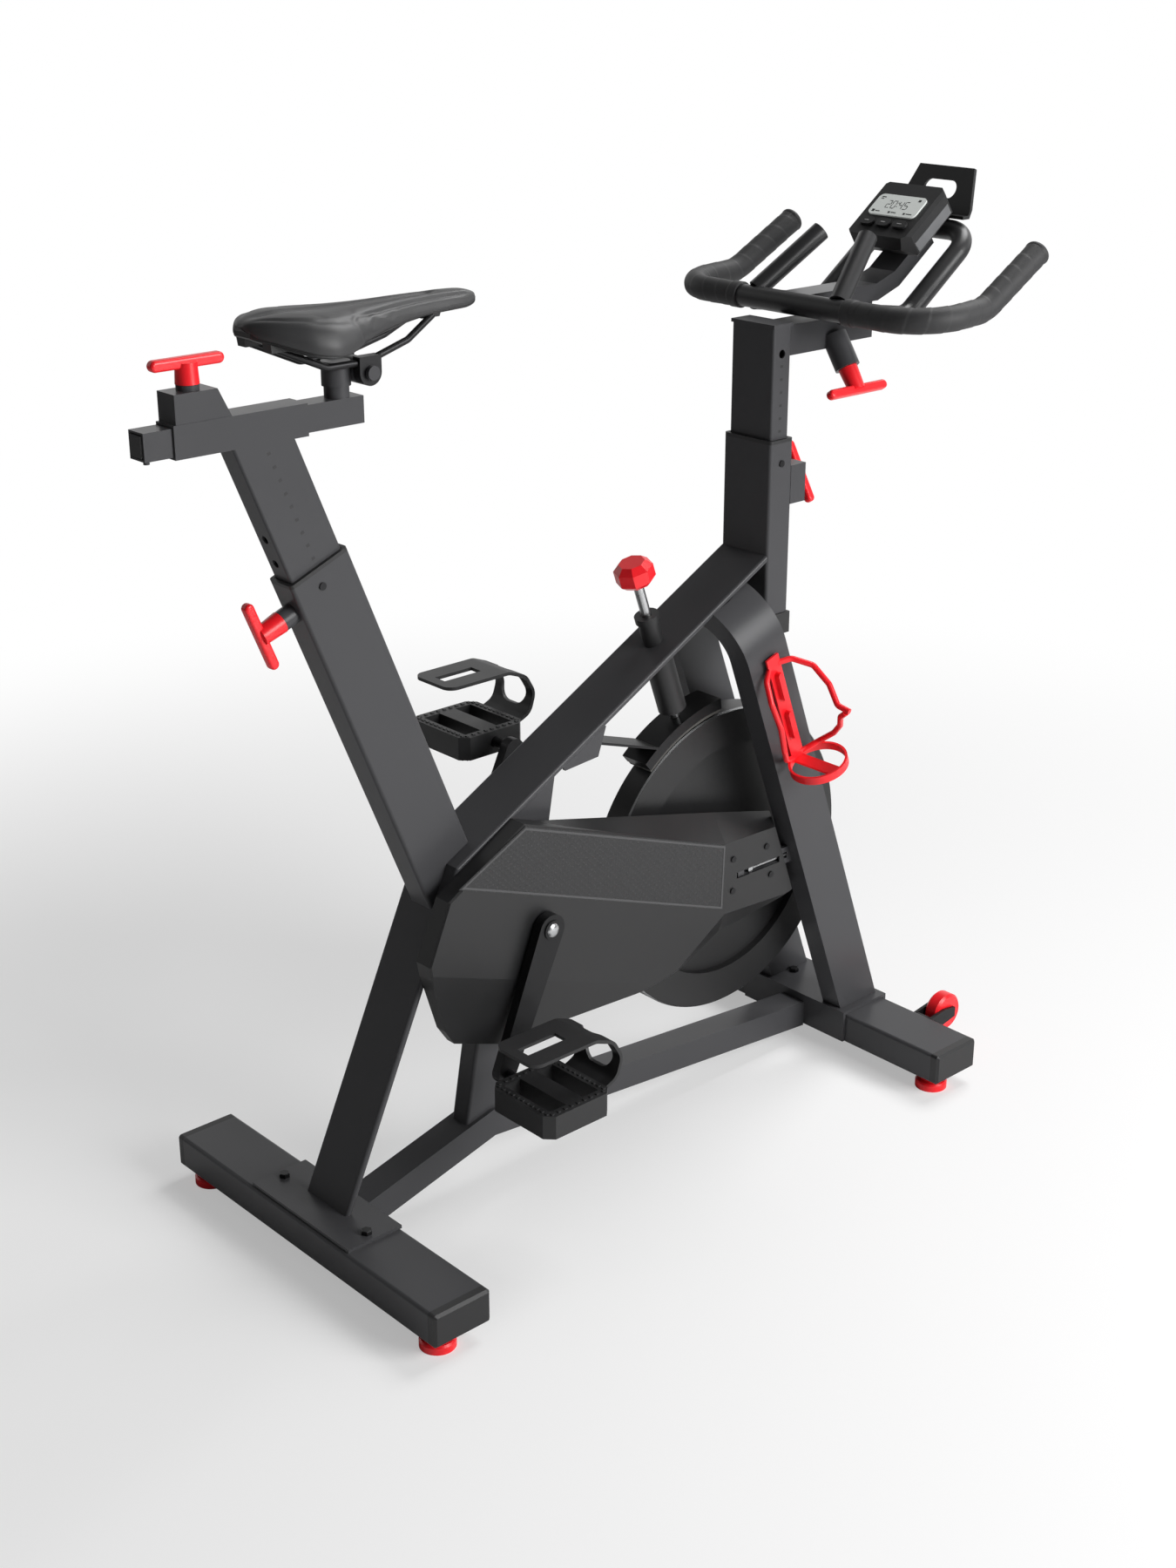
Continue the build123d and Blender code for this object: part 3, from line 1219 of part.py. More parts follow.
def cage_arm(marks):
    """Add a round arm through marks, each a height, a turn forward from the leg and an extra reach."""
    places = []
    for up, turn, extra in marks:
        reach = cage_radius + cage_arm_radius + extra
        place = cage_foot + fork_up * up + fork_forward * (reach * sin(radians(turn)))
        places.append(place + Vector(0, cage_axis_y + reach * cos(radians(turn)), 0))
    bent_tube(places, 2.5 * cage_arm_radius, cage_arm_radius)


with BuildPart() as bottle_cage:
    with BuildSketch(on_cage(-75)) as back_strip:
        with Locations((0, cage_y - cage_strap / 2)):
            Rectangle(20, cage_strap)
    extrude(amount=150)
    strip_face = Plane(origin=cage_foot + Vector(0, cage_y, 0), x_dir=fork_up, z_dir=(0, -1, 0))
    with BuildSketch(strip_face) as slots:
        with Locations((34, 0), (-22, 0)):
            SlotOverall(40, 8)
    extrude(slots.sketch, amount=10, both=True, mode=Mode.SUBTRACT)
    with BuildSketch(on_cage(-75)) as ring:
        with Locations((0, cage_axis_y)):
            Circle(cage_radius + cage_strap)
            Circle(cage_radius, mode=Mode.SUBTRACT)
    extrude(amount=10)
    with BuildSketch(on_cage(-75)) as ledge:
        with Locations((0, cage_axis_y)):
            Rectangle(16, 2 * cage_radius)
    extrude(amount=cage_strap)
    cage_arm([(62, 12, 0), (60, 40, 0), (48, 78, 0), (28, 112, 0), (8, 140, 2), (3, 150, 16)])
    cage_arm([(1, 149, 11), (-9, 139, 2), (-30, 118, 0), (-50, 88, 0), (-64, 52, 0), (-70, 15, 0)])
    cage_arm([(60, -12, 0), (54, -34, 0), (34, -60, 0), (2, -77, 0), (-34, -66, 0), (-60, -38, 0),
              (-70, -12, 0)])
pieces["bottle_cage"] = bottle_cage

with BuildPart() as cage_spacers:
    for up in (-52, 56):
        spot = cage_foot + fork_up * up
        cross_rod(spot.X, spot.Z, -fork_outer, cage_y, 6)
pieces["cage_spacers"] = cage_spacers

# Transport wheels and their forks
bar_face = front_bar_x + bar_depth / 2
with BuildPart() as wheel_forks:
    for side in (-1, 1):
        middle = side * roller_y
        cheek = roller_half_width + 0.5
        block((bar_face, bar_face + 4), (middle - cheek - 4, middle + cheek + 4),
              (foot_height + 8, bar_top - 2))
        for flank in (-1, 1):
            slab([(bar_face, roller_z - 18), (bar_face + 20, roller_z - 12), (roller_x + 9, roller_z - 6),
                  (roller_x + 9, roller_z + 7), (roller_x - 12, roller_z + 10),
                  (bar_face, bar_top - 2)], 2, middle + flank * (cheek + 2))
        cross_rod(roller_x, roller_z, middle - cheek - 2, middle + cheek + 2, roller_axle_radius)
pieces["wheel_forks"] = wheel_forks

for hand, side in (("left", 1), ("right", -1)):
    with BuildPart() as transport_wheel:
        middle = side * roller_y
        cross_rod(roller_x, roller_z, middle - roller_half_width, middle + roller_half_width,
                  roller_radius)
        chamfer(transport_wheel.edges(), 3)
        cross_rod(roller_x, roller_z, middle - roller_half_width, middle + roller_half_width,
                  roller_axle_radius + free_gap, Mode.SUBTRACT)
    pieces["transport_wheel_" + hand] = transport_wheel

# Every piece is moved so that the origin lies on the floor under the middle of the whole
boxes = [piece.part.bounding_box() for piece in pieces.values()]
middle_x = (min(box.min.X for box in boxes) + max(box.max.X for box in boxes)) / 2
os.makedirs("parts", exist_ok=True)
for name, piece in pieces.items():
    placed = piece.part.moved(Location((-middle_x, 0, 0)))
    placed.label = name
    export_step(placed, "parts/" + name + ".step")
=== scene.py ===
"""Dresses the exercise bike: finishes for every solid, and the surfaces that need finer shapes.

All places are in metres in the frame of the solids: X forward, Y to the rider's left, Z up.
"""
import json
import math

import bmesh
import bpy
import numpy as np
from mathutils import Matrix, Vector


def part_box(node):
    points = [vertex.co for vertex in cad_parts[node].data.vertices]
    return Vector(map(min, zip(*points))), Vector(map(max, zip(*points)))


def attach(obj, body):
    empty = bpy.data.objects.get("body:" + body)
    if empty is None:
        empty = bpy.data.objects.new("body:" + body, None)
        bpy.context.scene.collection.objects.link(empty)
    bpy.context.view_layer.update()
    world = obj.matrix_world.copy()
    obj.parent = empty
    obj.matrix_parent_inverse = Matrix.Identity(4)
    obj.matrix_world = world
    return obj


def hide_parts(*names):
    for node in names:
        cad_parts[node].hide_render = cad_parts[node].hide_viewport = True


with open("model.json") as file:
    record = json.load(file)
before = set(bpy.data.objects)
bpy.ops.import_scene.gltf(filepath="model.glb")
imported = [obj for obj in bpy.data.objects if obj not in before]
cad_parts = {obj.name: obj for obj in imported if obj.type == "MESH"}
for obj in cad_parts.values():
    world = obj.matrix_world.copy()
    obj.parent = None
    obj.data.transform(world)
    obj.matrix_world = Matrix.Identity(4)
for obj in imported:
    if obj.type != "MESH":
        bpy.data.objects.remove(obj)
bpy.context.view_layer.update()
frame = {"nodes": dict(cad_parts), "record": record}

bl_info = {
    "name": "Exercise bike dressing",
    "version": (1, 0, 0),
    "blender": (4, 5, 0),
    "location": "3D View > Sidebar > Bike",
    "description": "Finishes, saddle cover, bar tape, display and trim of an indoor exercise bike",
    "category": "Object",
}

MM = 0.001

# Camera of the photograph: place in metres, turn and height angle in degrees, lens in mm
CAMERA_PLACE = (-1.578, -1.7202, 1.400)
CAMERA_TURN = -42.2146
CAMERA_HEIGHT = 22.0656
CAMERA_LENS = 49.97

# Large soft boxes, the main one on the bike's right and another above and ahead: place and size in metres,
# power in watts
SOFTBOXES = (("right_softbox", (0.9, -2.9, 1.7), 2.0, 112.0), ("top_softbox", (2.0, 0.1, 3.2), 1.8, 62.0))
LAMP_TARGET = (0.0, 0.0, 0.5)

# Directions in the side view, from the lean of each part in degrees
SEAT_LEAN = math.radians(22.0)
CONSOLE_TILT = math.radians(36.5)
SEAT_UP = np.array([-math.sin(SEAT_LEAN), 0.0, math.cos(SEAT_LEAN)])
SEAT_FORWARD = np.array([math.cos(SEAT_LEAN), 0.0, math.sin(SEAT_LEAN)])
CONSOLE_ALONG = np.array([math.cos(CONSOLE_TILT), 0.0, math.sin(CONSOLE_TILT)])
CONSOLE_NORMAL = np.array([-math.sin(CONSOLE_TILT), 0.0, math.cos(CONSOLE_TILT)])
SEAT_SIDE = np.array([-389.0, -14.5, 792.0]) * MM
BAR_POST_SIDE = np.array([251.0, -33.0, 821.0]) * MM
CONSOLE_BEND = np.array([457.0, 0.0, 993.0]) * MM
WHEEL_AXIS = np.array([197.0, 0.0, 306.0]) * MM
CRANK_AXIS = np.array([-140.0, 0.0, 339.5]) * MM
SLIDE_END = np.array([-572.0, 0.0, 941.0]) * MM
FORWARD = np.array([1.0, 0.0, 0.0])
SIDEWAYS = np.array([0.0, 1.0, 0.0])
UPRIGHT = np.array([0.0, 0.0, 1.0])

finishes = {}


def linear(code):
    """Turn an sRGB hex code into linear red, green, blue and a full alpha."""
    parts = [int(code[place:place + 2], 16) / 255 for place in (1, 3, 5)]
    return tuple(p / 12.92 if p <= 0.04045 else ((p + 0.055) / 1.055) ** 2.4 for p in parts) + (1.0,)


def colour_property(name, description, code):
    """A colour that a user may change, from its hex code."""
    return bpy.props.FloatVectorProperty(name=name, description=description, subtype="COLOR", size=4,
                                         min=0.0, max=1.0, default=linear(code))


def length_property(name, description, millimetres):
    """A length that a user may change, from its size in millimetres."""
    return bpy.props.FloatProperty(name=name, description=description, default=millimetres * MM,
                                   subtype="DISTANCE", unit="LENGTH")


class BikeColours(bpy.types.PropertyGroup):
    """Colours of the bike's finishes"""
    frame_paint: colour_property("Frame paint", "Powder coat on the steel frame", "#454547")
    bar_paint: colour_property("Bar paint", "Paint on the handlebar tubes", "#2b2b2c")
    plastic: colour_property("Black plastic", "Moulded caps, pedals and console", "#1d1d1e")
    guard: colour_property("Belt guard", "Moulded cover of the belt", "#19191a")
    red: colour_property("Red plastic", "Handles, knob, feet, wheels and cage", "#f41d27")
    black_metal: colour_property("Blackened steel", "Cranks, rails and bolts", "#2a2a2b")
    steel: colour_property("Bright steel", "Brake rod and axle", "#b9babb")
    iron: colour_property("Flywheel paint", "Paint on the cast flywheel", "#161617")
    tape: colour_property("Bar tape", "Wound tape on the grips", "#2c2c2d")
    vinyl: colour_property("Saddle cover", "Grained vinyl of the saddle", "#323233")
    screen: colour_property("Display", "Pale face of the liquid crystal display", "#dfe3e0")
    floor: colour_property("Floor", "Studio floor", "#f4f4f4")


class BikeSizes(bpy.types.PropertyGroup):
    """Sizes of the fine shapes"""
    saddle_shrink: length_property("Saddle shrink", "How far the pad starts inside its final shape", 0.5)
    saddle_swell: length_property("Saddle swell", "Most that a point of the pad may move", 0.7)
    crease_depth: length_property("Crease depth", "Depth of the saddle's creases", 1.9)
    tape_pitch: length_property("Tape pitch", "Advance of the bar tape in each turn", 21.0)
    tape_lip: length_property("Tape lip", "Step at the tape's overlapping edge", 0.45)
    stud_height: length_property("Stud height", "Height of the pedal's studs", 1.2)
    dot_pitch: length_property("Dot pitch", "Spacing of the dots on the guard's panel", 6.0)


def add_node(tree, kind, inputs=(), **settings):
    """Add a node, set its settings, and fill or link its inputs."""
    node = tree.nodes.new(kind)
    for name, value in settings.items():
        setattr(node, name, value)
    for key, value in dict(inputs).items():
        if isinstance(value, bpy.types.NodeSocket):
            tree.links.new(value, node.inputs[key])
        else:
            node.inputs[key].default_value = value
    return node


def start_finish(name):
    """Make an empty material and return it with its tree, shader and object coordinates."""
    material = bpy.data.materials.new(name)
    material.use_nodes = True
    tree = material.node_tree
    tree.nodes.clear()
    shader = add_node(tree, "ShaderNodeBsdfPrincipled")
    add_node(tree, "ShaderNodeOutputMaterial", {"Surface": shader.outputs["BSDF"]})
    places = add_node(tree, "ShaderNodeTexCoord").outputs["Object"]
    return material, tree, shader, places


def shade(colour, factor):
    """The same colour, lighter or darker."""
    return tuple(min(1.0, part * factor) for part in colour[:3]) + (1.0,)


def speckled(name, colour, rough, grain_mm, depth_mm, patch_mm, spread, metal=0.0, specular=0.5):
    """A finish with a fine bump of one grain size and slow patches of tone and gloss.

    The grains are drawn coarser than life, so that they show.
    """
    material, tree, shader, places = start_finish(name)
    patches = add_node(tree, "ShaderNodeTexNoise", {"Vector": places, "Scale": 1 / (patch_mm * MM),
                                                    "Detail": 3.0})
    tone = add_node(tree, "ShaderNodeMix", {0: patches.outputs["Fac"], 6: shade(colour, 1 - spread),
                                            7: shade(colour, 1 + spread)}, data_type="RGBA")
    gloss = add_node(tree, "ShaderNodeMapRange", {"Value": patches.outputs["Fac"], "To Min": rough - 0.05,
                                                  "To Max": rough + 0.05})
    grain = add_node(tree, "ShaderNodeTexNoise", {"Vector": places, "Scale": 1 / (grain_mm * MM),
                                                  "Detail": 2.0})
    bump = add_node(tree, "ShaderNodeBump", {"Height": grain.outputs["Fac"], "Strength": 0.5,
                                             "Distance": depth_mm * MM})
    tree.links.new(tone.outputs[2], shader.inputs["Base Color"])
    tree.links.new(gloss.outputs["Result"], shader.inputs["Roughness"])
    tree.links.new(bump.outputs["Normal"], shader.inputs["Normal"])
    shader.inputs["Metallic"].default_value = metal
    shader.inputs["Specular IOR Level"].default_value = specular
    return material


def guard_finish(colours, sizes):
    """Satin ABS, moulded, with a field of small raised dots on the upper panel.

    The panel stands proud of the guard and is found by the distance along Y; there the tone is painted
    paler for the light that the raised panel catches, and its dots paler still, as painted highlights.
    """
    material, tree, shader, places = start_finish("satin_moulded_abs")
    patches = add_node(tree, "ShaderNodeTexNoise", {"Vector": places, "Scale": 1 / (60 * MM)})
    tone = add_node(tree, "ShaderNodeMix", {0: patches.outputs["Fac"], 6: shade(colours.guard, 0.96),
                                            7: shade(colours.guard, 1.04)}, data_type="RGBA")
    axes = add_node(tree, "ShaderNodeSeparateXYZ", {"Vector": places})
    on_panel = add_node(tree, "ShaderNodeMath", {0: axes.outputs["Y"], 1: -62.5 * MM},
                        operation="LESS_THAN")
    turned = add_node(tree, "ShaderNodeMapping", {"Vector": places, "Rotation": (0, math.radians(45), 0)})
    cells = add_node(tree, "ShaderNodeVectorMath", {0: turned.outputs["Vector"],
                                                    1: (sizes.dot_pitch, 1.0, sizes.dot_pitch)},
                     operation="DIVIDE")
    inside = add_node(tree, "ShaderNodeVectorMath", {0: cells.outputs["Vector"]}, operation="FRACTION")
    centred = add_node(tree, "ShaderNodeVectorMath", {0: inside.outputs["Vector"], 1: (0.5, 0.0, 0.5)},
                       operation="SUBTRACT")
    flat = add_node(tree, "ShaderNodeVectorMath", {0: centred.outputs["Vector"], 1: (1.0, 0.0, 1.0)},
                    operation="MULTIPLY")
    reach = add_node(tree, "ShaderNodeVectorMath", {0: flat.outputs["Vector"]}, operation="LENGTH")
    dots = add_node(tree, "ShaderNodeMapRange", {"Value": reach.outputs["Value"], "From Min": 0.30,
                                                 "From Max": 0.18}, interpolation_type="SMOOTHSTEP")
    kept = add_node(tree, "ShaderNodeMath", {0: dots.outputs["Result"], 1: on_panel.outputs["Value"]},
                    operation="MULTIPLY")
    # Painted light: the raised panel is painted 1.35 times paler than the guard, and its dots 1.75 times,
    # as highlights
    panel = add_node(tree, "ShaderNodeMix", {0: on_panel.outputs["Value"], 6: tone.outputs[2],
                                             7: shade(colours.guard, 1.35)}, data_type="RGBA")
    tone_with_painted_light = add_node(tree, "ShaderNodeMix", {0: kept.outputs["Value"], 6: panel.outputs[2],
                                              7: shade(colours.guard, 1.75)}, data_type="RGBA")
    bump = add_node(tree, "ShaderNodeBump", {"Height": kept.outputs["Value"], "Strength": 0.6,
                                             "Distance": 0.3 * MM})
    tree.links.new(tone_with_painted_light.outputs[2], shader.inputs["Base Color"])
    tree.links.new(bump.outputs["Normal"], shader.inputs["Normal"])
    shader.inputs["Roughness"].default_value = 0.42
    return material


def flywheel_finish(colours):
    """Cast iron, painted satin on its sides, with the turned corners of the rim left bright.

    Distance from the axle tells the rim's corners from the sides.
    """
    material, tree, shader, places = start_finish("painted_cast_iron")
    from_axle = add_node(tree, "ShaderNodeVectorMath", {0: places, 1: tuple(WHEEL_AXIS)},
                         operation="SUBTRACT")
    flat = add_node(tree, "ShaderNodeVectorMath", {0: from_axle.outputs["Vector"], 1: (1.0, 0.0, 1.0)},
                    operation="MULTIPLY")
    reach = add_node(tree, "ShaderNodeVectorMath", {0: flat.outputs["Vector"]}, operation="LENGTH")
    outer = add_node(tree, "ShaderNodeMath", {0: reach.outputs["Value"], 1: 193.2 * MM},
                     operation="GREATER_THAN")
    axes = add_node(tree, "ShaderNodeSeparateXYZ", {"Vector": places})
    away = add_node(tree, "ShaderNodeMath", {0: axes.outputs["Y"]}, operation="ABSOLUTE")
    corner = add_node(tree, "ShaderNodeMath", {0: away.outputs["Value"], 1: 15.4 * MM},
                      operation="GREATER_THAN")
    bright = add_node(tree, "ShaderNodeMath", {0: outer.outputs["Value"], 1: corner.outputs["Value"]},
                      operation="MULTIPLY")
    rings = add_node(tree, "ShaderNodeMath", {0: reach.outputs["Value"], 1: 900.0}, operation="MULTIPLY")
    wave = add_node(tree, "ShaderNodeMath", {0: rings.outputs["Value"]}, operation="SINE")
    grain = add_node(tree, "ShaderNodeTexNoise", {"Vector": places, "Scale": 1 / (2.5 * MM), "Detail": 3.0})
    relief = add_node(tree, "ShaderNodeMath", {0: wave.outputs["Value"], 1: 0.15, 2: grain.outputs["Fac"]},
                      operation="MULTIPLY_ADD")
    bump = add_node(tree, "ShaderNodeBump", {"Height": relief.outputs["Value"], "Strength": 0.3,
                                             "Distance": 0.06 * MM})
    tone = add_node(tree, "ShaderNodeMix", {0: bright.outputs["Value"], 6: colours.iron,
                                            7: colours.steel}, data_type="RGBA")
    rough = add_node(tree, "ShaderNodeMapRange", {"Value": bright.outputs["Value"], "To Min": 0.42,
                                                  "To Max": 0.25})
    tree.links.new(tone.outputs[2], shader.inputs["Base Color"])
    tree.links.new(bright.outputs["Value"], shader.inputs["Metallic"])
    tree.links.new(rough.outputs["Result"], shader.inputs["Roughness"])
    tree.links.new(bump.outputs["Normal"], shader.inputs["Normal"])
    return material


def vinyl_finish(colours):
    """Saddle vinyl, embossed with a leather grain of about 1.6 mm, with a soft sheen."""
    material, tree, shader, places = start_finish("grained_saddle_vinyl")
    cells = add_node(tree, "ShaderNodeTexVoronoi", {"Vector": places, "Scale": 1 / (1.6 * MM)},
                     feature="DISTANCE_TO_EDGE")
    patches = add_node(tree, "ShaderNodeTexNoise", {"Vector": places, "Scale": 1 / (35 * MM)})
    tone = add_node(tree, "ShaderNodeMix", {0: patches.outputs["Fac"], 6: shade(colours.vinyl, 0.92),
                                            7: shade(colours.vinyl, 1.08)}, data_type="RGBA")
    bump = add_node(tree, "ShaderNodeBump", {"Height": cells.outputs["Distance"], "Strength": 0.3,
                                             "Distance": 0.12 * MM})
    tree.links.new(tone.outputs[2], shader.inputs["Base Color"])
    tree.links.new(bump.outputs["Normal"], shader.inputs["Normal"])
    shader.inputs["Roughness"].default_value = 0.5
    return material


def tape_finish(colours):
    """Bar tape of foamed polyurethane: matt, with pores of about 1.4 mm, drawn coarser than life."""
    material, tree, shader, places = start_finish("foamed_bar_tape")
    pores = add_node(tree, "ShaderNodeTexVoronoi", {"Vector": places, "Scale": 1 / (1.4 * MM)})
    patches = add_node(tree, "ShaderNodeTexNoise", {"Vector": places, "Scale": 1 / (12 * MM)})
    tone = add_node(tree, "ShaderNodeMix", {0: patches.outputs["Fac"], 6: shade(colours.tape, 0.88),
                                            7: shade(colours.tape, 1.12)}, data_type="RGBA")
    bump = add_node(tree, "ShaderNodeBump", {"Height": pores.outputs["Distance"], "Strength": 0.3,
                                             "Distance": 0.15 * MM})
    tree.links.new(tone.outputs[2], shader.inputs["Base Color"])
    tree.links.new(bump.outputs["Normal"], shader.inputs["Normal"])
    shader.inputs["Roughness"].default_value = 0.62
    return material


def screen_finish(colours):
    """Display glass over a pale reflector, with a faint painted glow that lightens its face: smooth, with a
    slight grain.
    """
    material, tree, shader, places = start_finish("display_glass")
    grain = add_node(tree, "ShaderNodeTexNoise", {"Vector": places, "Scale": 1 / (0.8 * MM)})
    tone = add_node(tree, "ShaderNodeMix", {0: grain.outputs["Fac"], 6: shade(colours.screen, 0.95),
                                            7: shade(colours.screen, 1.05)}, data_type="RGBA")
    tree.links.new(tone.outputs[2], shader.inputs["Base Color"])
    # Painted glow: the face's own colour is emitted faintly, so that it reads lighter
    tree.links.new(tone.outputs[2], shader.inputs["Emission Color"])
    shader.inputs["Emission Strength"].default_value = 0.17
    shader.inputs["Roughness"].default_value = 0.2
    shader.inputs["Coat Weight"].default_value = 0.5
    shader.inputs["Coat Roughness"].default_value = 0.05
    return material


class BIKE_OT_finishes(bpy.types.Operator):
    """Make every finish and give each solid the one of its material slot"""
    bl_idname = "bike.finishes"
    bl_label = "Finishes"

    def execute(self, context):
        colours = context.scene.bike_colours
        sizes = context.scene.bike_sizes
        # Powder coat, sprayed and baked: satin with a slight orange peel
        finishes["frame_paint"] = speckled("satin_powder_coat", colours.frame_paint, rough=0.31,
                                           grain_mm=1.2, depth_mm=0.06, patch_mm=90, spread=0.03,
                                           specular=0.22)
        # Bar enamel: a little smoother than the frame
        finishes["bar_paint"] = speckled("black_bar_enamel", colours.bar_paint, rough=0.36, grain_mm=1.0,
                                         depth_mm=0.02, patch_mm=60, spread=0.04)
        # Polypropylene, moulded in a spark-grained tool: matt with fine pits
        finishes["black_plastic"] = speckled("grained_polypropylene", colours.plastic, rough=0.48,
                                             grain_mm=0.9, depth_mm=0.06, patch_mm=30, spread=0.06)
        # ABS, moulded glossy and coloured through
        finishes["red_plastic"] = speckled("red_gloss_abs", colours.red, rough=0.32, grain_mm=1.5,
                                           depth_mm=0.015, patch_mm=25, spread=0.03)
        # Steel with a black oxide: a dull, dark metal
        finishes["black_metal"] = speckled("black_oxide_steel", colours.black_metal, rough=0.38,
                                           grain_mm=0.8, depth_mm=0.05, patch_mm=20, spread=0.10,
                                           metal=0.75)
        # Steel, turned and zinc plated: bright, with slight streaks of tone
        finishes["steel"] = speckled("zinc_plated_steel", colours.steel, rough=0.28, grain_mm=0.6,
                                     depth_mm=0.03, patch_mm=15, spread=0.06, metal=1.0)
        # Belt rubber, moulded: matt black
        finishes["belt_rubber"] = speckled("belt_rubber", linear("#161616"), rough=0.75, grain_mm=1.0,
                                           depth_mm=0.12, patch_mm=20, spread=0.1)
        # Wool felt of the brake, pressed: dull and uneven
        finishes["felt"] = speckled("pressed_felt", linear("#4b4a47"), rough=0.9, grain_mm=0.7,
                                    depth_mm=0.3, patch_mm=10, spread=0.15)
        # Dark segments of the display, seen through its glass
        finishes["segments"] = speckled("display_segments", linear("#1b1e1d"), rough=0.4, grain_mm=1.0,
                                        depth_mm=0.02, patch_mm=10, spread=0.05)
        # Inks, pad printed in flat tones: pale on the buttons, dark on the posts; the grey on the guard is
        # a painted highlight along the panel's raised edge
        for key, name, code in (("print", "pale_pad_print", "#b9b9b9"),
                                ("scale", "dark_scale_print", "#1e1e1f"),
                                ("border", "grey_painted_edge_highlight", "#474748")):
            finishes[key] = speckled(name, linear(code), rough=0.5, grain_mm=0.8, depth_mm=0.02,
                                     patch_mm=10, spread=0.05)
        # Silver paint on the console's side strips: a soft metallic sheen
        finishes["silver"] = speckled("silver_trim_paint", linear("#8b8c8e"), rough=0.35, grain_mm=0.8,
                                      depth_mm=0.03, patch_mm=15, spread=0.05, metal=0.6)
        finishes["guard_plastic"] = guard_finish(colours, sizes)
        finishes["flywheel_iron"] = flywheel_finish(colours)
        finishes["saddle_skin"] = vinyl_finish(colours)
        finishes["grip_foam"] = tape_finish(colours)
        finishes["display"] = screen_finish(colours)
        for part in frame["record"]["subparts"]:
            solid = frame["nodes"][part["node"]]
            finish = finishes[part["material_slot"]]
            if solid.material_slots:
                for place in solid.material_slots:
                    place.material = finish
            else:
                solid.data.materials.append(finish)
        return {"FINISHED"}


def add_piece(name, points, faces, body, finish, smooth=True):
    """Put points and faces into a new object that rides on a body and takes a slot's finish."""
    mesh = bpy.data.meshes.new(name)
    mesh.from_pydata(np.asarray(points).reshape(-1, 3).tolist(), [], faces)
    work = bmesh.new()
    work.from_mesh(mesh)
    bmesh.ops.recalc_face_normals(work, faces=work.faces)
    work.to_mesh(mesh)
    work.free()
    mesh.polygons.foreach_set("use_smooth", np.full(len(mesh.polygons), smooth))
    mesh.materials.append(finishes[finish])
    piece = bpy.data.objects.new(name, mesh)
    bpy.context.scene.collection.objects.link(piece)
    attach(piece, body)
    return piece


def grid_faces(rows, columns, first=0):
    """Quads between neighbours of a grid that is closed round its columns, and a face over each end row."""
    index = first + np.arange(rows * columns).reshape(rows, columns)
    wrapped = np.concatenate([index, index[:, :1]], axis=1)
    quads = np.stack([wrapped[:-1, :-1], wrapped[1:, :-1], wrapped[1:, 1:], wrapped[:-1, 1:]], axis=-1)
    return quads.reshape(-1, 4).tolist() + [index[0][::-1].tolist(), index[-1].tolist()]


def unit(vectors):
    """Vectors divided by their lengths."""
    return vectors / np.linalg.norm(vectors, axis=-1, keepdims=True)


def along_path(path, upward):
    """Distance along a path, with the sideways and upward directions at each point."""
    steps = np.linalg.norm(np.diff(path, axis=0), axis=1)
    distance = np.concatenate([[0.0], np.cumsum(steps)])
    tangent = unit(np.gradient(path, axis=0))
    side = unit(np.cross(tangent, np.broadcast_to(upward, tangent.shape)))
    return distance, side, np.cross(side, tangent)


def bent_path(points, bend, step):
    """Path of straight runs whose corners are arcs of one radius, in steps of about one length."""
    points = np.asarray(points, dtype=float)
    runs = unit(np.diff(points, axis=0))
    pieces = [points[:1]]
    for before, after, corner in zip(runs[:-1], runs[1:], points[1:-1]):
        turn = math.acos(float(np.clip(before @ after, -1, 1)))
        inward = unit(after - before)
        centre = corner + inward * bend / math.cos(turn / 2)
        angles = np.linspace(-turn / 2, turn / 2, max(3, int(bend * turn / step)))[:, None]
        ahead = unit(before + after)
        pieces.append(centre + bend * (ahead * np.sin(angles) - inward * np.cos(angles)))
    pieces.append(points[-1:])
    corners = np.concatenate(pieces)
    lengths = np.concatenate([[0.0], np.cumsum(np.linalg.norm(np.diff(corners, axis=0), axis=1))])
    marks = np.linspace(0, lengths[-1], int(lengths[-1] / step))
    return np.stack([np.interp(marks, lengths, corners[:, axis]) for axis in range(3)], axis=1)


def boxes(corners_low, corners_high, top_scale=1.0):
    """Points and faces of many small blocks in local coordinates, their tops drawn in by a scale."""
    low = np.asarray(corners_low, dtype=float)[:, None]
    high = np.asarray(corners_high, dtype=float)[:, None]
    pick = np.array([[0, 0, 0], [1, 0, 0], [1, 1, 0], [0, 1, 0],
                     [0, 0, 1], [1, 0, 1], [1, 1, 1], [0, 1, 1]])
    points = low + (high - low) * pick
    middle = (low + high) / 2
    drawn = np.where(pick[:, 2:] == 1, top_scale, 1.0) * np.array([1, 1, 0]) + np.array([0, 0, 1])
    points = middle + (points - middle) * drawn
    quads = np.array([[0, 3, 2, 1], [4, 5, 6, 7], [0, 1, 5, 4], [1, 2, 6, 5], [2, 3, 7, 6], [3, 0, 4, 7]])
    faces = (quads[None] + 8 * np.arange(len(points))[:, None, None]).reshape(-1, 4).tolist()
    return points.reshape(-1, 3), faces


def placed(points, origin, first, second, third):
    """Local points carried to an origin along three directions."""
    return origin + points[:, :1] * first + points[:, 1:2] * second + points[:, 2:3] * third


def settle(piece):
    """Replace a piece's mesh by what its modifiers make of it."""
    graph = bpy.context.evaluated_depsgraph_get()
    mesh = bpy.data.meshes.new_from_object(piece.evaluated_get(graph))
    piece.modifiers.clear()
    old = piece.data
    piece.data = mesh
    bpy.data.meshes.remove(old)


def vertices(mesh):
    """Places of a mesh's vertices as an array."""
    values = np.empty(len(mesh.vertices) * 3)
    mesh.vertices.foreach_get("co", values)
    return values.reshape(-1, 3)


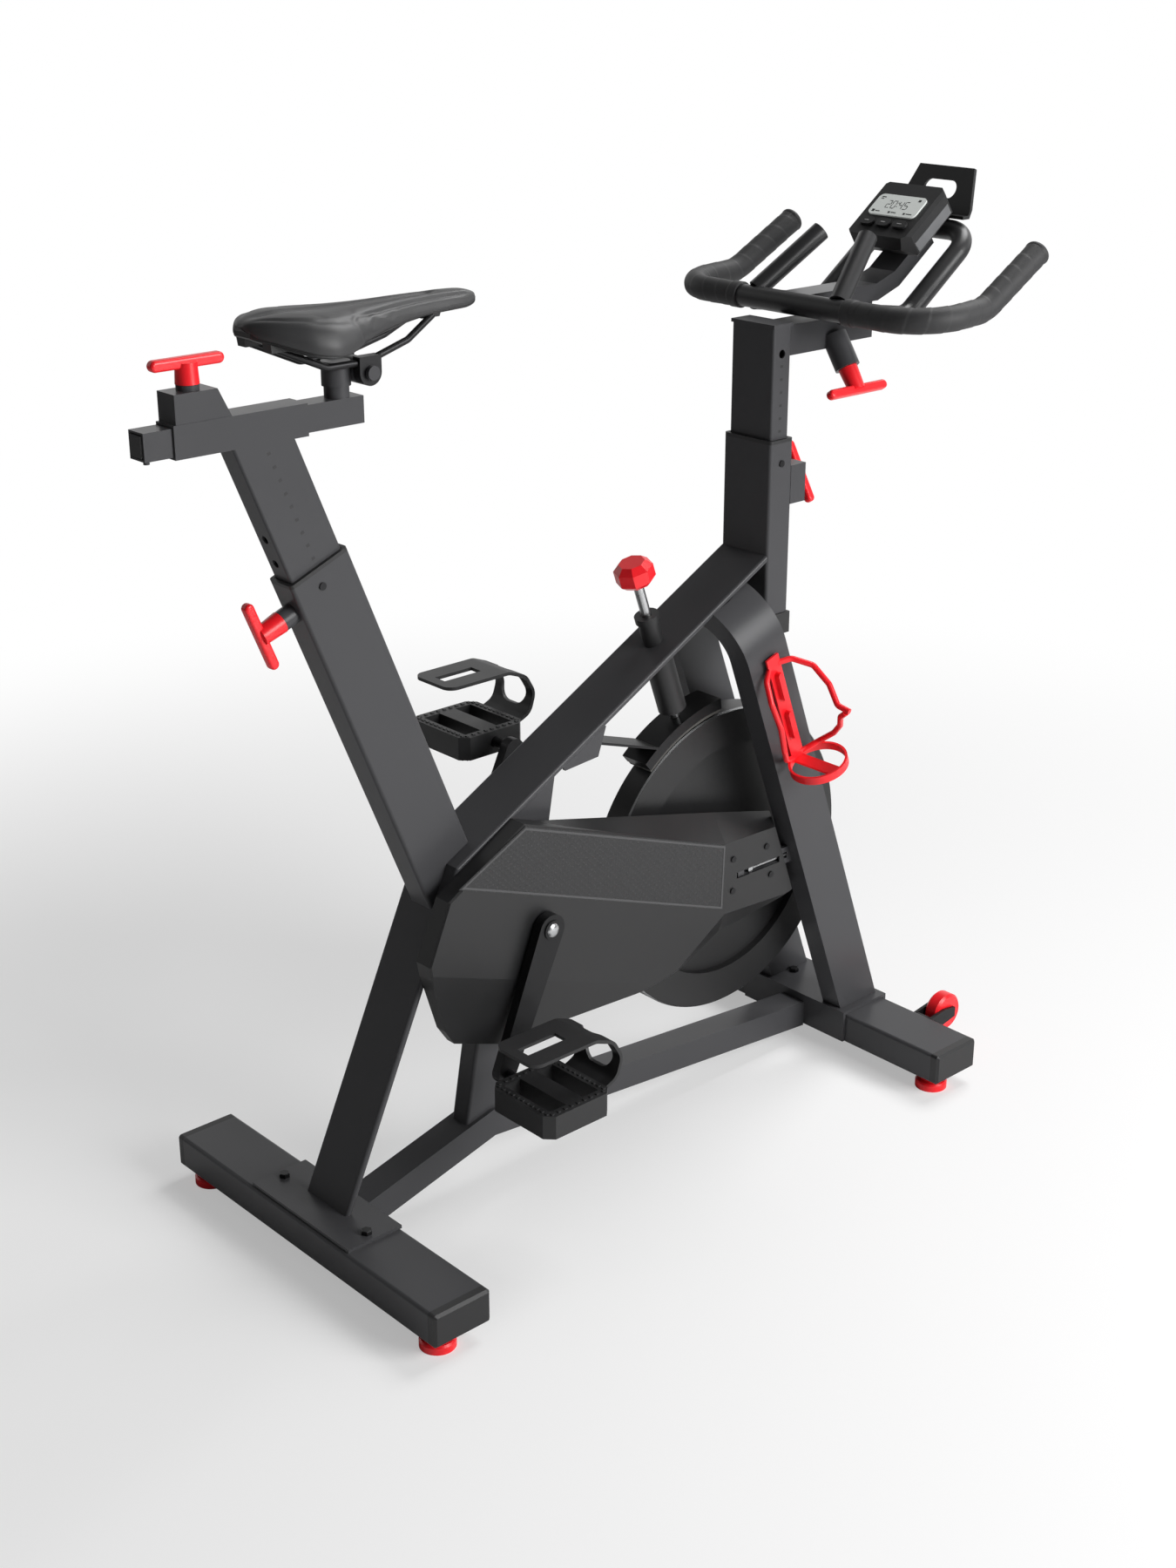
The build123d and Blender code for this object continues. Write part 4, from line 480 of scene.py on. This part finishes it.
def normals(mesh):
    """Normals of a mesh's vertices as an array."""
    values = np.empty(len(mesh.vertices) * 3)
    mesh.vertex_normals.foreach_get("vector", values)
    return values.reshape(-1, 3)


def put_vertices(mesh, places):
    """Write the places of a mesh's vertices."""
    mesh.vertices.foreach_set("co", places.ravel())
    mesh.update()


def inflate(piece, cap):
    """Swell a piece by cloth under pressure for 20 frames, no point moving further than the cap."""
    scene = bpy.context.scene
    start = vertices(piece.data)
    cloth = piece.modifiers.new("Cloth", "CLOTH")
    cloth.settings.use_pressure = True
    cloth.settings.uniform_pressure_force = 4.0
    cloth.settings.effector_weights.gravity = 0.0
    cloth.point_cache.frame_start = 1
    cloth.point_cache.frame_end = 20
    for step in range(1, 21):
        scene.frame_set(step)
    settle(piece)
    scene.frame_set(1)
    moved = vertices(piece.data) - start
    length = np.linalg.norm(moved, axis=1, keepdims=True)
    put_vertices(piece.data, start + moved * np.minimum(1.0, cap / np.maximum(length, 1e-9)))


def gutter(distance, width):
    """Bell-shaped depth of a crease at a distance from its line."""
    return np.exp(-(distance / width) ** 2)


def ramp(values, start, end):
    """Smooth rise from 0 at start to 1 at end."""
    share = np.clip((values - start) / (end - start), 0, 1)
    return share * share * (3 - 2 * share)


def through(at, marks, values):
    """Cubic curve through marked values, with the slope at each mark taken from its neighbours."""
    marks = np.asarray(marks, dtype=float)
    values = np.asarray(values, dtype=float)
    slopes = np.gradient(values, marks)
    place = np.clip(np.searchsorted(marks, at, side="right") - 1, 0, len(marks) - 2)
    width = marks[place + 1] - marks[place]
    t = (at - marks[place]) / width
    return (values[place] * (1 + 2 * t) * (1 - t) ** 2 + values[place + 1] * t * t * (3 - 2 * t)
            + width * (slopes[place] * t * (1 - t) ** 2 - slopes[place + 1] * t * t * (1 - t)))


# Saddle from tail to nose in mm: station, half width, top and lower edge
SADDLE_ROWS = np.array([
    [-455, 0, 1034, 1034], [-449, 20, 1040, 1026], [-440, 33, 1042.5, 1022.5], [-425, 47, 1044, 1016.5],
    [-405, 60, 1044, 1009], [-385, 64, 1043, 1006], [-365, 58.5, 1042.3, 1006.5], [-345, 47.5, 1042, 1010],
    [-325, 37, 1042, 1014], [-300, 28.5, 1042.3, 1018], [-270, 22.5, 1042.8, 1022.5],
    [-240, 19, 1043.2, 1025.5], [-210, 16.5, 1043, 1026.5], [-190, 13.5, 1042, 1027],
    [-180, 10, 1039.5, 1029], [-173, 0, 1034, 1034]])
# Half section from the middle of the top to the lower edge: share, width and drop, at wing and nose
WING_SECTION = np.array([[0, 0.2, 0.4, 0.55, 0.68, 0.8, 0.9, 1.0],
                         [0, 0.24, 0.47, 0.64, 0.8, 0.92, 0.985, 0.975],
                         [0.0, 0.0, 0.02, 0.07, 0.19, 0.42, 0.72, 1.0]])
NOSE_SECTION = np.array([[0, 0.2, 0.4, 0.55, 0.68, 0.8, 0.9, 1.0],
                         [0, 0.3, 0.56, 0.74, 0.87, 0.95, 1.0, 0.97],
                         [0.0, 0.01, 0.07, 0.19, 0.38, 0.6, 0.82, 1.0]])


def saddle_stations(count, margin):
    """Stations from tail to nose, each with its half width, top and lower edge, as columns.

    The place along the saddle follows a cosine, so that the ends close in round curves.
    """
    middle = (SADDLE_ROWS[0, 0] + SADDLE_ROWS[-1, 0]) / 2
    reach = SADDLE_ROWS[-1, 0] - middle
    turn = np.arccos(np.clip(-(SADDLE_ROWS[:, 0] - middle) / reach, -1, 1))
    steps = np.linspace(margin, np.pi - margin, count)
    rows = [through(steps, turn, SADDLE_ROWS[:, column])[:, None] for column in (1, 2, 3)]
    return [(middle - reach * np.cos(steps))[:, None]] + rows


def saddle_surface():
    """Rings of the saddle from tail to nose, with the depth of the creases at each point.

    Each ring goes over the top from one lower edge to the other, by a section that changes from wing to
    nose, and back along a flat underside.
    """
    station, half, top, low = saddle_stations(130, 0.05)
    share = np.linspace(-1, 1, 81)
    nose = ramp(station, -385, -300)
    wide, drop = ((1 - nose) * through(np.abs(share), WING_SECTION[0], WING_SECTION[row])
                  + nose * through(np.abs(share), NOSE_SECTION[0], NOSE_SECTION[row]) for row in (1, 2))
    over_y = np.sign(share) * half * wide
    over_z = top - (top - low) * drop
    back = np.linspace(0.95, -0.95, 15)
    under_y = half * 0.95 * back
    under_z = low + 0.6 + 0 * back
    y = np.concatenate([over_y, under_y], axis=1)
    z = np.concatenate([over_z, under_z], axis=1)
    x = np.broadcast_to(station, y.shape)
    # Middle channel, arc on each wing, and the edge between the nose's top and sides
    upper = np.concatenate([np.ones(81), np.zeros(15)])
    around = np.concatenate([np.abs(share), np.ones(15)])
    channel = 2.0 * gutter(y, 5.5) * ramp(x, -450, -420) * ramp(x, -218, -236)
    arc = np.interp(x, [-446, -423, -398, -375, -350], [12, 32, 46, 48, 41])
    wing = 0.8 * gutter(np.abs(y) - arc, 3.6) * ramp(x, -452, -430) * ramp(x, -345, -362)
    edge = 1.0 * gutter((around - 0.60) * (half + 8), 2.1) * ramp(x, -352, -325) * ramp(x, -182, -205)
    front = np.interp(around, [0.55, 0.7, 1.0], [-345, -352, -338])
    hook = 0.9 * gutter(x - front, 3.6) * ramp(around, 0.52, 0.64)
    return np.stack([x, y, z], axis=-1) * MM, (channel + wing + edge + hook) * upper


class BIKE_OT_saddle(bpy.types.Operator):
    """Make the padded saddle cover with its channel and creases"""
    bl_idname = "bike.saddle"
    bl_label = "Saddle"

    def execute(self, context):
        sizes = context.scene.bike_sizes
        points, depth = saddle_surface()
        piece = add_piece("saddle_cover", points, grid_faces(*points.shape[:2]), "saddle", "saddle_skin")
        outward = normals(piece.data)
        put_vertices(piece.data, vertices(piece.data) - outward * sizes.saddle_shrink)
        inflate(piece, sizes.saddle_swell)
        creases = outward * depth.reshape(-1, 1) * sizes.crease_depth
        put_vertices(piece.data, vertices(piece.data) - creases)
        subdivide = piece.modifiers.new("Subdivision", "SUBSURF")
        subdivide.levels = 1
        subdivide.render_levels = 1
        settle(piece)
        piece.data.polygons.foreach_set("use_smooth", np.full(len(piece.data.polygons), True))
        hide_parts("saddle_pad")
        return {"FINISHED"}


class BIKE_OT_saddle_shell(bpy.types.Operator):
    """Make the plastic shell under the saddle, with the lugs that hold the rails"""
    bl_idname = "bike.saddle_shell"
    bl_label = "Saddle shell"

    def execute(self, context):
        station, half, _, low = saddle_stations(60, 0.22)
        y = half * np.array([-0.9, -0.9, -0.82, 0.82, 0.9, 0.9])
        z = low + np.array([2.5, -1.0, -2.6, -2.6, -1.0, 2.5])
        rings = np.stack([np.broadcast_to(station, y.shape), y, z], axis=-1)
        lugs, faces = boxes([[-440, 14, -1024], [-440, -29, -1024], [-251, -14, -1029]],
                            [[-418, 29, -1011.5], [-418, -14, -1011.5], [-225, 14, -1019.5]], 0.86)
        shell_faces = grid_faces(*rings.shape[:2])
        shell_faces += (np.array(faces) + rings.size // 3).tolist()
        points = np.concatenate([rings.reshape(-1, 3), lugs * np.array([1, 1, -1])]) * MM
        piece = add_piece("saddle_shell", points, shell_faces, "saddle", "black_plastic",
                          smooth=False)
        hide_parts("saddle_base")
        return {"FINISHED"}


class BIKE_OT_bar_tape(bpy.types.Operator):
    """Wind the tape on both grips, with a collar at the inner end and a plug at the tip"""
    bl_idname = "bike.bar_tape"
    bl_label = "Bar tape"

    def execute(self, context):
        sizes = context.scene.bike_sizes
        route = np.array([[303, 82, 970], [303, 196, 970], [406, 194, 975], [507, 190, 1031]]) * MM
        tape_radius, collar_radius, plug_radius = 14.3 * MM, 15.4 * MM, 15.2 * MM
        collar_length, plug_length = 13 * MM, 7 * MM
        bend, step, columns = 60 * MM, 1.1 * MM, 40
        # Share of a turn after which the lap drops
        crest = 0.93
        angle = np.linspace(0, 2 * np.pi, columns, endpoint=False)
        points, faces = [], []
        for side in (1.0, -1.0):
            path = bent_path(route * np.array([1, side, 1]), bend, step)
            distance, sideways, upward = along_path(path, UPRIGHT)
            turn = np.mod(distance[:, None] / sizes.tape_pitch + side * angle / (2 * np.pi), 1.0)
            # Each turn laps over the last: the radius climbs along the turn, then drops at its edge
            lap = np.where(turn < crest, turn / crest, (1 - turn) / (1 - crest))
            left = (distance[-1] - distance)[:, None]
            radius = tape_radius + sizes.tape_lip * lap
            radius = np.where(distance[:, None] < collar_length, collar_radius, radius)
            # The plug closes to half its radius at the tip
            plug = plug_radius * np.sqrt(1 - 0.75 * np.clip(1 - left / plug_length, 0, 1) ** 3)
            radius = np.where(left < plug_length, plug, radius)
            grid = path[:, None] + radius[..., None] * (np.cos(angle)[:, None] * sideways[:, None]
                                                        + np.sin(angle)[:, None] * upward[:, None])
            faces += grid_faces(len(path), columns, sum(len(rows) for rows in points))
            points.append(grid.reshape(-1, 3))
        piece = add_piece("bar_tape", np.concatenate(points), faces, "bar_slider", "grip_foam")
        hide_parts("grips")
        return {"FINISHED"}


# Segments of a digit as low and high corners in a cell one wide and two tall
SEGMENTS = {
    "top": ((0.14, 1.86), (0.86, 2.0)), "middle": ((0.14, 0.93), (0.86, 1.07)),
    "bottom": ((0.14, 0.0), (0.86, 0.14)), "upper_left": ((0.0, 1.09), (0.14, 1.84)),
    "upper_right": ((0.86, 1.09), (1.0, 1.84)), "lower_left": ((0.0, 0.16), (0.14, 0.91)),
    "lower_right": ((0.86, 0.16), (1.0, 0.91)),
}
DIGITS = {
    "0": ("top", "bottom", "upper_left", "upper_right", "lower_left", "lower_right"),
    "2": ("top", "upper_right", "middle", "lower_left", "bottom"),
    "4": ("upper_left", "upper_right", "middle", "lower_right"),
    "5": ("top", "upper_left", "middle", "lower_right", "bottom"),
}


class BIKE_OT_display(bpy.types.Operator):
    """Draw a time in seven-segment digits and small marks on the display"""
    bl_idname = "bike.display"
    bl_label = "Display"

    def execute(self, context):
        low, high = [], []
        wide, base, bottom, top = 6.4, -5.5, 0.02, 0.14
        for place, digit in zip((-13.5, -5.5, 5.0, 13.0), "2045"):
            for name in DIGITS[digit]:
                (x0, y0), (x1, y1) = SEGMENTS[name]
                low.append((place + wide * (x0 - 0.5), base + wide * y0, bottom))
                high.append((place + wide * (x1 - 0.5), base + wide * y1, top))
        for x0, y0, x1, y1 in ((-0.7, -2.6, 0.7, -1.2), (-0.7, 3.6, 0.7, 5.0), (-31, 11, -25, 12.4),
                               (-31, -13.5, -27, -9.5), (-25.5, -12.6, -19, -11.2), (-6, -13.5, -3, -10.5),
                               (-1.5, -12.6, 6, -11.2), (17, -13.5, 20, -10.5), (21.5, -12.6, 30, -11.2),
                               (25, 9.5, 29, 13.0), (-31, 8.5, -27, 9.6)):
            low.append((x0, y0, bottom))
            high.append((x1, y1, top))
        points, faces = boxes(low, high)
        middle = CONSOLE_BEND + (CONSOLE_NORMAL * 45 + CONSOLE_ALONG * 60.7) * MM
        add_piece("display_digits", placed(points * MM, middle, -SIDEWAYS, CONSOLE_ALONG, CONSOLE_NORMAL),
                  faces, "bar_slider", "segments", smooth=False)
        return {"FINISHED"}


class BIKE_OT_console_trim(bpy.types.Operator):
    """Lay a silver strip on each side of the console and a small mark on each button"""
    bl_idname = "bike.console_trim"
    bl_label = "Console trim"

    def execute(self, context):
        outline = np.array([[22, 14], [90.5, 14], [91, 28], [21, 28]], dtype=float)
        strip_base, strip_face, face_scale = 47.6, 48.5, 0.97
        middle = outline.mean(axis=0)
        drawn = middle + (outline - middle) * face_scale
        strip = np.stack([np.insert(outline, 1, strip_base, axis=1),
                          np.insert(drawn, 1, strip_face, axis=1)])
        both = np.concatenate([strip, strip * np.array([1, -1, 1])]).reshape(-1, 3)
        places = placed(both * MM, CONSOLE_BEND, CONSOLE_ALONG, SIDEWAYS, CONSOLE_NORMAL)
        add_piece("console_side_strips", places, grid_faces(2, 4) + grid_faces(2, 4, 8), "bar_slider",
                  "silver", smooth=False)
        button_along, button_top = 31.0, 46.78
        corners, quads = boxes([[-3.2, -0.5, 0.0]], [[3.2, 0.5, 0.12]])
        for name, across in (("left", 25.0), ("middle", 0.0), ("right", -25.0)):
            origin = CONSOLE_BEND + (CONSOLE_ALONG * button_along + SIDEWAYS * across
                                     + CONSOLE_NORMAL * button_top) * MM
            add_piece("button_mark_" + name,
                      placed(corners * MM, origin, -SIDEWAYS, CONSOLE_ALONG, CONSOLE_NORMAL), quads,
                      "button_" + name, "print", smooth=False)
        return {"FINISHED"}


class BIKE_OT_post_scale(bpy.types.Operator):
    """Print the height scale on the right sides of the seat post and the handlebar post"""
    bl_idname = "bike.post_scale"
    bl_label = "Post scales"

    def execute(self, context):
        pitch, start, half_wide, half_tall, thickness = 15.0, 13.0, 2.0, 1.5, 0.15
        for name, count, body, origin, across, up in (
                ("seat_post_scale", 9, "seat_mount", SEAT_SIDE, SEAT_FORWARD, SEAT_UP),
                ("bar_post_scale", 6, "bar_mount", BAR_POST_SIDE, FORWARD, UPRIGHT)):
            places = np.arange(count) * pitch + start
            low = np.stack([np.full(count, -half_wide), places - half_tall, np.zeros(count)], axis=1)
            high = np.stack([np.full(count, half_wide), places + half_tall, np.full(count, thickness)],
                            axis=1)
            points, faces = boxes(low, high)
            add_piece(name, placed(points * MM, origin, across, up, -SIDEWAYS), faces, body, "scale",
                      smooth=False)
        return {"FINISHED"}


# Corners of the guard's panel in the side view, in mm
GUARD_PANEL = np.array([[-261.0, 421.0], [-166.0, 468.0], [149.0, 353.0], [146.0, 268.0]])


def inset(corners, distance):
    """Corners of a polygon moved inward, so that each side moves by one distance."""
    ahead = unit(np.roll(corners, -1, axis=0) - corners)
    inward = np.stack([ahead[:, 1], -ahead[:, 0]], axis=1)
    before = np.roll(inward, 1, axis=0)
    spread = 1 + np.sum(inward * before, axis=1, keepdims=True)
    return corners + distance * (inward + before) / spread


class BIKE_OT_guard_border(bpy.types.Operator):
    """Lay a thin grey border round the panel of the belt guard, a painted highlight along the panel's
    raised edge
    """
    bl_idname = "bike.guard_border"
    bl_label = "Guard border"

    def execute(self, context):
        # Painted highlight: a grey band where the raised panel's edge catches the light
        outer, inner = inset(GUARD_PANEL, 1.5), inset(GUARD_PANEL, 4.0)
        base_y, face_y = -62.6, -63.1
        ring = np.stack([outer, np.roll(outer, -1, axis=0), np.roll(inner, -1, axis=0), inner], axis=1)
        sides = np.concatenate([np.insert(ring, 1, base_y, axis=2),
                                np.insert(ring, 1, face_y, axis=2)], axis=1)
        # Each side of the border is a block, its corners in the order of boxes
        faces = boxes(np.zeros((4, 3)), np.ones((4, 3)))[1]
        add_piece("guard_panel_border", sides * MM, faces, "frame", "border", smooth=False)
        return {"FINISHED"}


class BIKE_OT_pedal_studs(bpy.types.Operator):
    """Set rows of studs on the bars of both pedals, above and below"""
    bl_idname = "bike.pedal_studs"
    bl_label = "Pedal studs"

    def execute(self, context):
        height = context.scene.bike_sizes.stud_height / MM
        stud_half, stud_root, top_scale = 2.0, 0.5, 0.85
        pedal_middle, pedal_height, rim = 150.0, 28.0, 6.0
        for hand, side in (("left", 1.0), ("right", -1.0)):
            low_corner = np.array(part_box("pedal_" + hand)[0]) / MM
            back = low_corner[0] + rim
            middle = side * pedal_middle
            # Rows across the rear and front bars, then along both side bars
            rows = [np.meshgrid(back + np.array([6.0, 88.0]), middle + np.linspace(-40, 40, 11)),
                    np.meshgrid(back + np.linspace(10, 84, 9), middle + np.array([-44.0, 44.0]))]
            spots = np.concatenate([np.stack(row, axis=-1).reshape(-1, 2) for row in rows])
            flat = np.zeros((len(spots), 1))
            lower = np.concatenate([spots - stud_half, flat - stud_root], axis=1)
            upper = np.concatenate([spots + stud_half, flat + height], axis=1)
            points, faces = boxes(lower, upper, top_scale)
            above = points + np.array([0, 0, low_corner[2] + pedal_height])
            below = points * np.array([1, 1, -1]) + np.array([0, 0, low_corner[2]])
            faces += (np.array(faces) + len(points)).tolist()
            add_piece("pedal_studs_" + hand, np.concatenate([above, below]) * MM, faces, hand + "_pedal",
                      "black_plastic", smooth=False)
        return {"FINISHED"}


class BIKE_OT_end_caps(bpy.types.Operator):
    """Put a domed bolt on each crank's boss and a plug in the rear end of the saddle's slide"""
    bl_idname = "bike.end_caps"
    bl_label = "End caps"

    def execute(self, context):
        # Each dome is most of a quarter ellipse turned about the crank's axis
        radius, height, boss_face, rows, columns = 9.0, 4.5, 76.2, 10, 32
        rise = np.linspace(0, 1.45, rows)[:, None]
        turn = np.linspace(0, 2 * np.pi, columns, endpoint=False)
        dome = np.stack([radius * np.cos(rise) * np.cos(turn), radius * np.cos(rise) * np.sin(turn),
                         boss_face + height * np.sin(rise) + 0 * turn], axis=-1).reshape(-1, 3) * MM
        both = np.concatenate([placed(dome, CRANK_AXIS, FORWARD, UPRIGHT, side * SIDEWAYS)
                               for side in (1, -1)])
        faces = grid_faces(rows, columns) + grid_faces(rows, columns, len(dome))
        add_piece("crank_bolts", both, faces, "crank", "steel")
        points, faces = boxes([[-10.5, -11.5, -4.0]], [[10.5, 11.5, 1.5]], 0.9)
        add_piece("slide_end_plug", placed(points * MM, SLIDE_END, SIDEWAYS, UPRIGHT, -FORWARD), faces,
                  "seat_slider", "black_plastic", smooth=False)
        return {"FINISHED"}


class BIKE_OT_stage(bpy.types.Operator):
    """Set up the floor, lights, background and camera"""
    bl_idname = "bike.stage"
    bl_label = "Stage"

    def execute(self, context):
        scene = context.scene
        floor_half = 60.0
        corners = np.array([[-1, -1, 0], [1, -1, 0], [1, 1, 0], [-1, 1, 0]]) * floor_half
        mesh = bpy.data.meshes.new("studio_floor")
        mesh.from_pydata(corners.tolist(), [], [[0, 1, 2, 3]])
        floor = bpy.data.objects.new("studio_floor", mesh)
        scene.collection.objects.link(floor)
        # Matt white floor; seen directly it also glows a little, so that it stays pale with soft shadows
        material = bpy.data.materials.new("matt_studio_floor")
        material.use_nodes = True
        tree = material.node_tree
        tree.nodes.clear()
        matt = add_node(tree, "ShaderNodeBsdfDiffuse", {"Color": scene.bike_colours.floor})
        glow = add_node(tree, "ShaderNodeEmission", {"Color": (1, 1, 1, 1), "Strength": 1.0})
        places = add_node(tree, "ShaderNodeTexCoord").outputs["Object"]
        reach = add_node(tree, "ShaderNodeVectorMath", {0: places}, operation="LENGTH")
        far = add_node(tree, "ShaderNodeMapRange", {"Value": reach.outputs["Value"], "From Min": 0.8,
                                                    "From Max": 2.2, "To Min": 0.40, "To Max": 1.0},
                       interpolation_type="SMOOTHSTEP")
        seen = add_node(tree, "ShaderNodeLightPath")
        share = add_node(tree, "ShaderNodeMath", {0: far.outputs["Result"],
                                                  1: seen.outputs["Is Camera Ray"]}, operation="MULTIPLY")
        mix = add_node(tree, "ShaderNodeMixShader", {0: share.outputs["Value"], 1: matt.outputs["BSDF"],
                                                     2: glow.outputs["Emission"]})
        add_node(tree, "ShaderNodeOutputMaterial", {"Surface": mix.outputs["Shader"]})
        mesh.materials.append(material)
        # White backdrop behind the bike, as high as a paper roll; the room round it is dim
        world = bpy.data.worlds.new("white_studio")
        world.use_nodes = True
        tree = world.node_tree
        tree.nodes.clear()
        heading = add_node(tree, "ShaderNodeTexCoord").outputs["Generated"]
        facing = add_node(tree, "ShaderNodeVectorMath", {0: heading, 1: (0.67, 0.74, 0.0)},
                          operation="DOT_PRODUCT")
        behind = add_node(tree, "ShaderNodeMapRange", {"Value": facing.outputs["Value"], "From Min": -0.1,
                                                       "From Max": 0.4}, interpolation_type="SMOOTHSTEP")
        axes = add_node(tree, "ShaderNodeSeparateXYZ", {"Vector": heading})
        below = add_node(tree, "ShaderNodeMapRange", {"Value": axes.outputs["Z"], "From Min": 0.72,
                                                      "From Max": 0.50}, interpolation_type="SMOOTHSTEP")
        roll = add_node(tree, "ShaderNodeMath", {0: behind.outputs["Result"], 1: below.outputs["Result"]},
                        operation="MULTIPLY")
        mirrored = add_node(tree, "ShaderNodeMapRange", {"Value": roll.outputs["Value"], "To Min": 0.07,
                                                         "To Max": 1.0})
        seen = add_node(tree, "ShaderNodeLightPath")
        clear = add_node(tree, "ShaderNodeMath", {0: seen.outputs["Is Camera Ray"],
                                                  1: seen.outputs["Is Transmission Ray"]},
                         operation="MAXIMUM")
        soft = add_node(tree, "ShaderNodeMix", {0: seen.outputs["Is Glossy Ray"], 2: 0.10,
                                                3: mirrored.outputs["Result"]})
        strength = add_node(tree, "ShaderNodeMix", {0: clear.outputs["Value"], 2: soft.outputs[0], 3: 1.0})
        sky = add_node(tree, "ShaderNodeBackground", {"Color": (1, 1, 1, 1),
                                                      "Strength": strength.outputs[0]})
        add_node(tree, "ShaderNodeOutputWorld", {"Surface": sky.outputs["Background"]})
        scene.world = world
        for name, place, size, power in SOFTBOXES:
            lamp = bpy.data.lights.new(name, "AREA")
            lamp.shape = "DISK"
            lamp.size = size
            lamp.energy = power
            holder = bpy.data.objects.new(name, lamp)
            holder.location = place
            aim = Vector(LAMP_TARGET) - Vector(place)
            holder.rotation_euler = aim.to_track_quat("-Z", "Y").to_euler()
            scene.collection.objects.link(holder)
        turn = math.radians(CAMERA_TURN)
        height = math.radians(CAMERA_HEIGHT)
        level = math.cos(height)
        back = Vector((math.sin(turn) * level, -math.cos(turn) * level, math.sin(height)))
        lens = bpy.data.cameras.new("photo_camera")
        lens.lens = CAMERA_LENS
        lens.sensor_width = 36.0
        camera = bpy.data.objects.new("photo_camera", lens)
        camera.location = CAMERA_PLACE
        camera.rotation_euler = (-back).to_track_quat("-Z", "Y").to_euler()
        scene.collection.objects.link(camera)
        scene.camera = camera
        scene.view_settings.view_transform = "Standard"
        return {"FINISHED"}


OPERATORS = (BIKE_OT_finishes, BIKE_OT_saddle, BIKE_OT_saddle_shell, BIKE_OT_bar_tape, BIKE_OT_display,
             BIKE_OT_console_trim, BIKE_OT_post_scale, BIKE_OT_guard_border, BIKE_OT_pedal_studs,
             BIKE_OT_end_caps, BIKE_OT_stage)


class BIKE_PT_dressing(bpy.types.Panel):
    """Lists the steps that dress the bike"""
    bl_idname = "BIKE_PT_dressing"
    bl_label = "Exercise bike"
    bl_space_type = "VIEW_3D"
    bl_region_type = "UI"
    bl_category = "Bike"

    def draw(self, context):
        for step in OPERATORS:
            self.layout.operator(step.bl_idname)
        for group in (context.scene.bike_colours, context.scene.bike_sizes):
            for name in group.__annotations__:
                self.layout.prop(group, name)


CLASSES = (BikeColours, BikeSizes) + OPERATORS + (BIKE_PT_dressing,)


def register():
    """Register the classes and attach the settings to the scene."""
    for kind in CLASSES:
        bpy.utils.register_class(kind)
    bpy.types.Scene.bike_colours = bpy.props.PointerProperty(type=BikeColours)
    bpy.types.Scene.bike_sizes = bpy.props.PointerProperty(type=BikeSizes)


def unregister():
    """Remove the settings and the classes."""
    del bpy.types.Scene.bike_sizes
    del bpy.types.Scene.bike_colours
    for kind in reversed(CLASSES):
        bpy.utils.unregister_class(kind)


def main():
    """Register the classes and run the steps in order."""
    register()
    bpy.ops.bike.finishes()
    bpy.ops.bike.saddle()
    bpy.ops.bike.saddle_shell()
    bpy.ops.bike.bar_tape()
    bpy.ops.bike.display()
    bpy.ops.bike.console_trim()
    bpy.ops.bike.post_scale()
    bpy.ops.bike.guard_border()
    bpy.ops.bike.pedal_studs()
    bpy.ops.bike.end_caps()
    bpy.ops.bike.stage()


if __name__ == "__main__":
    main()
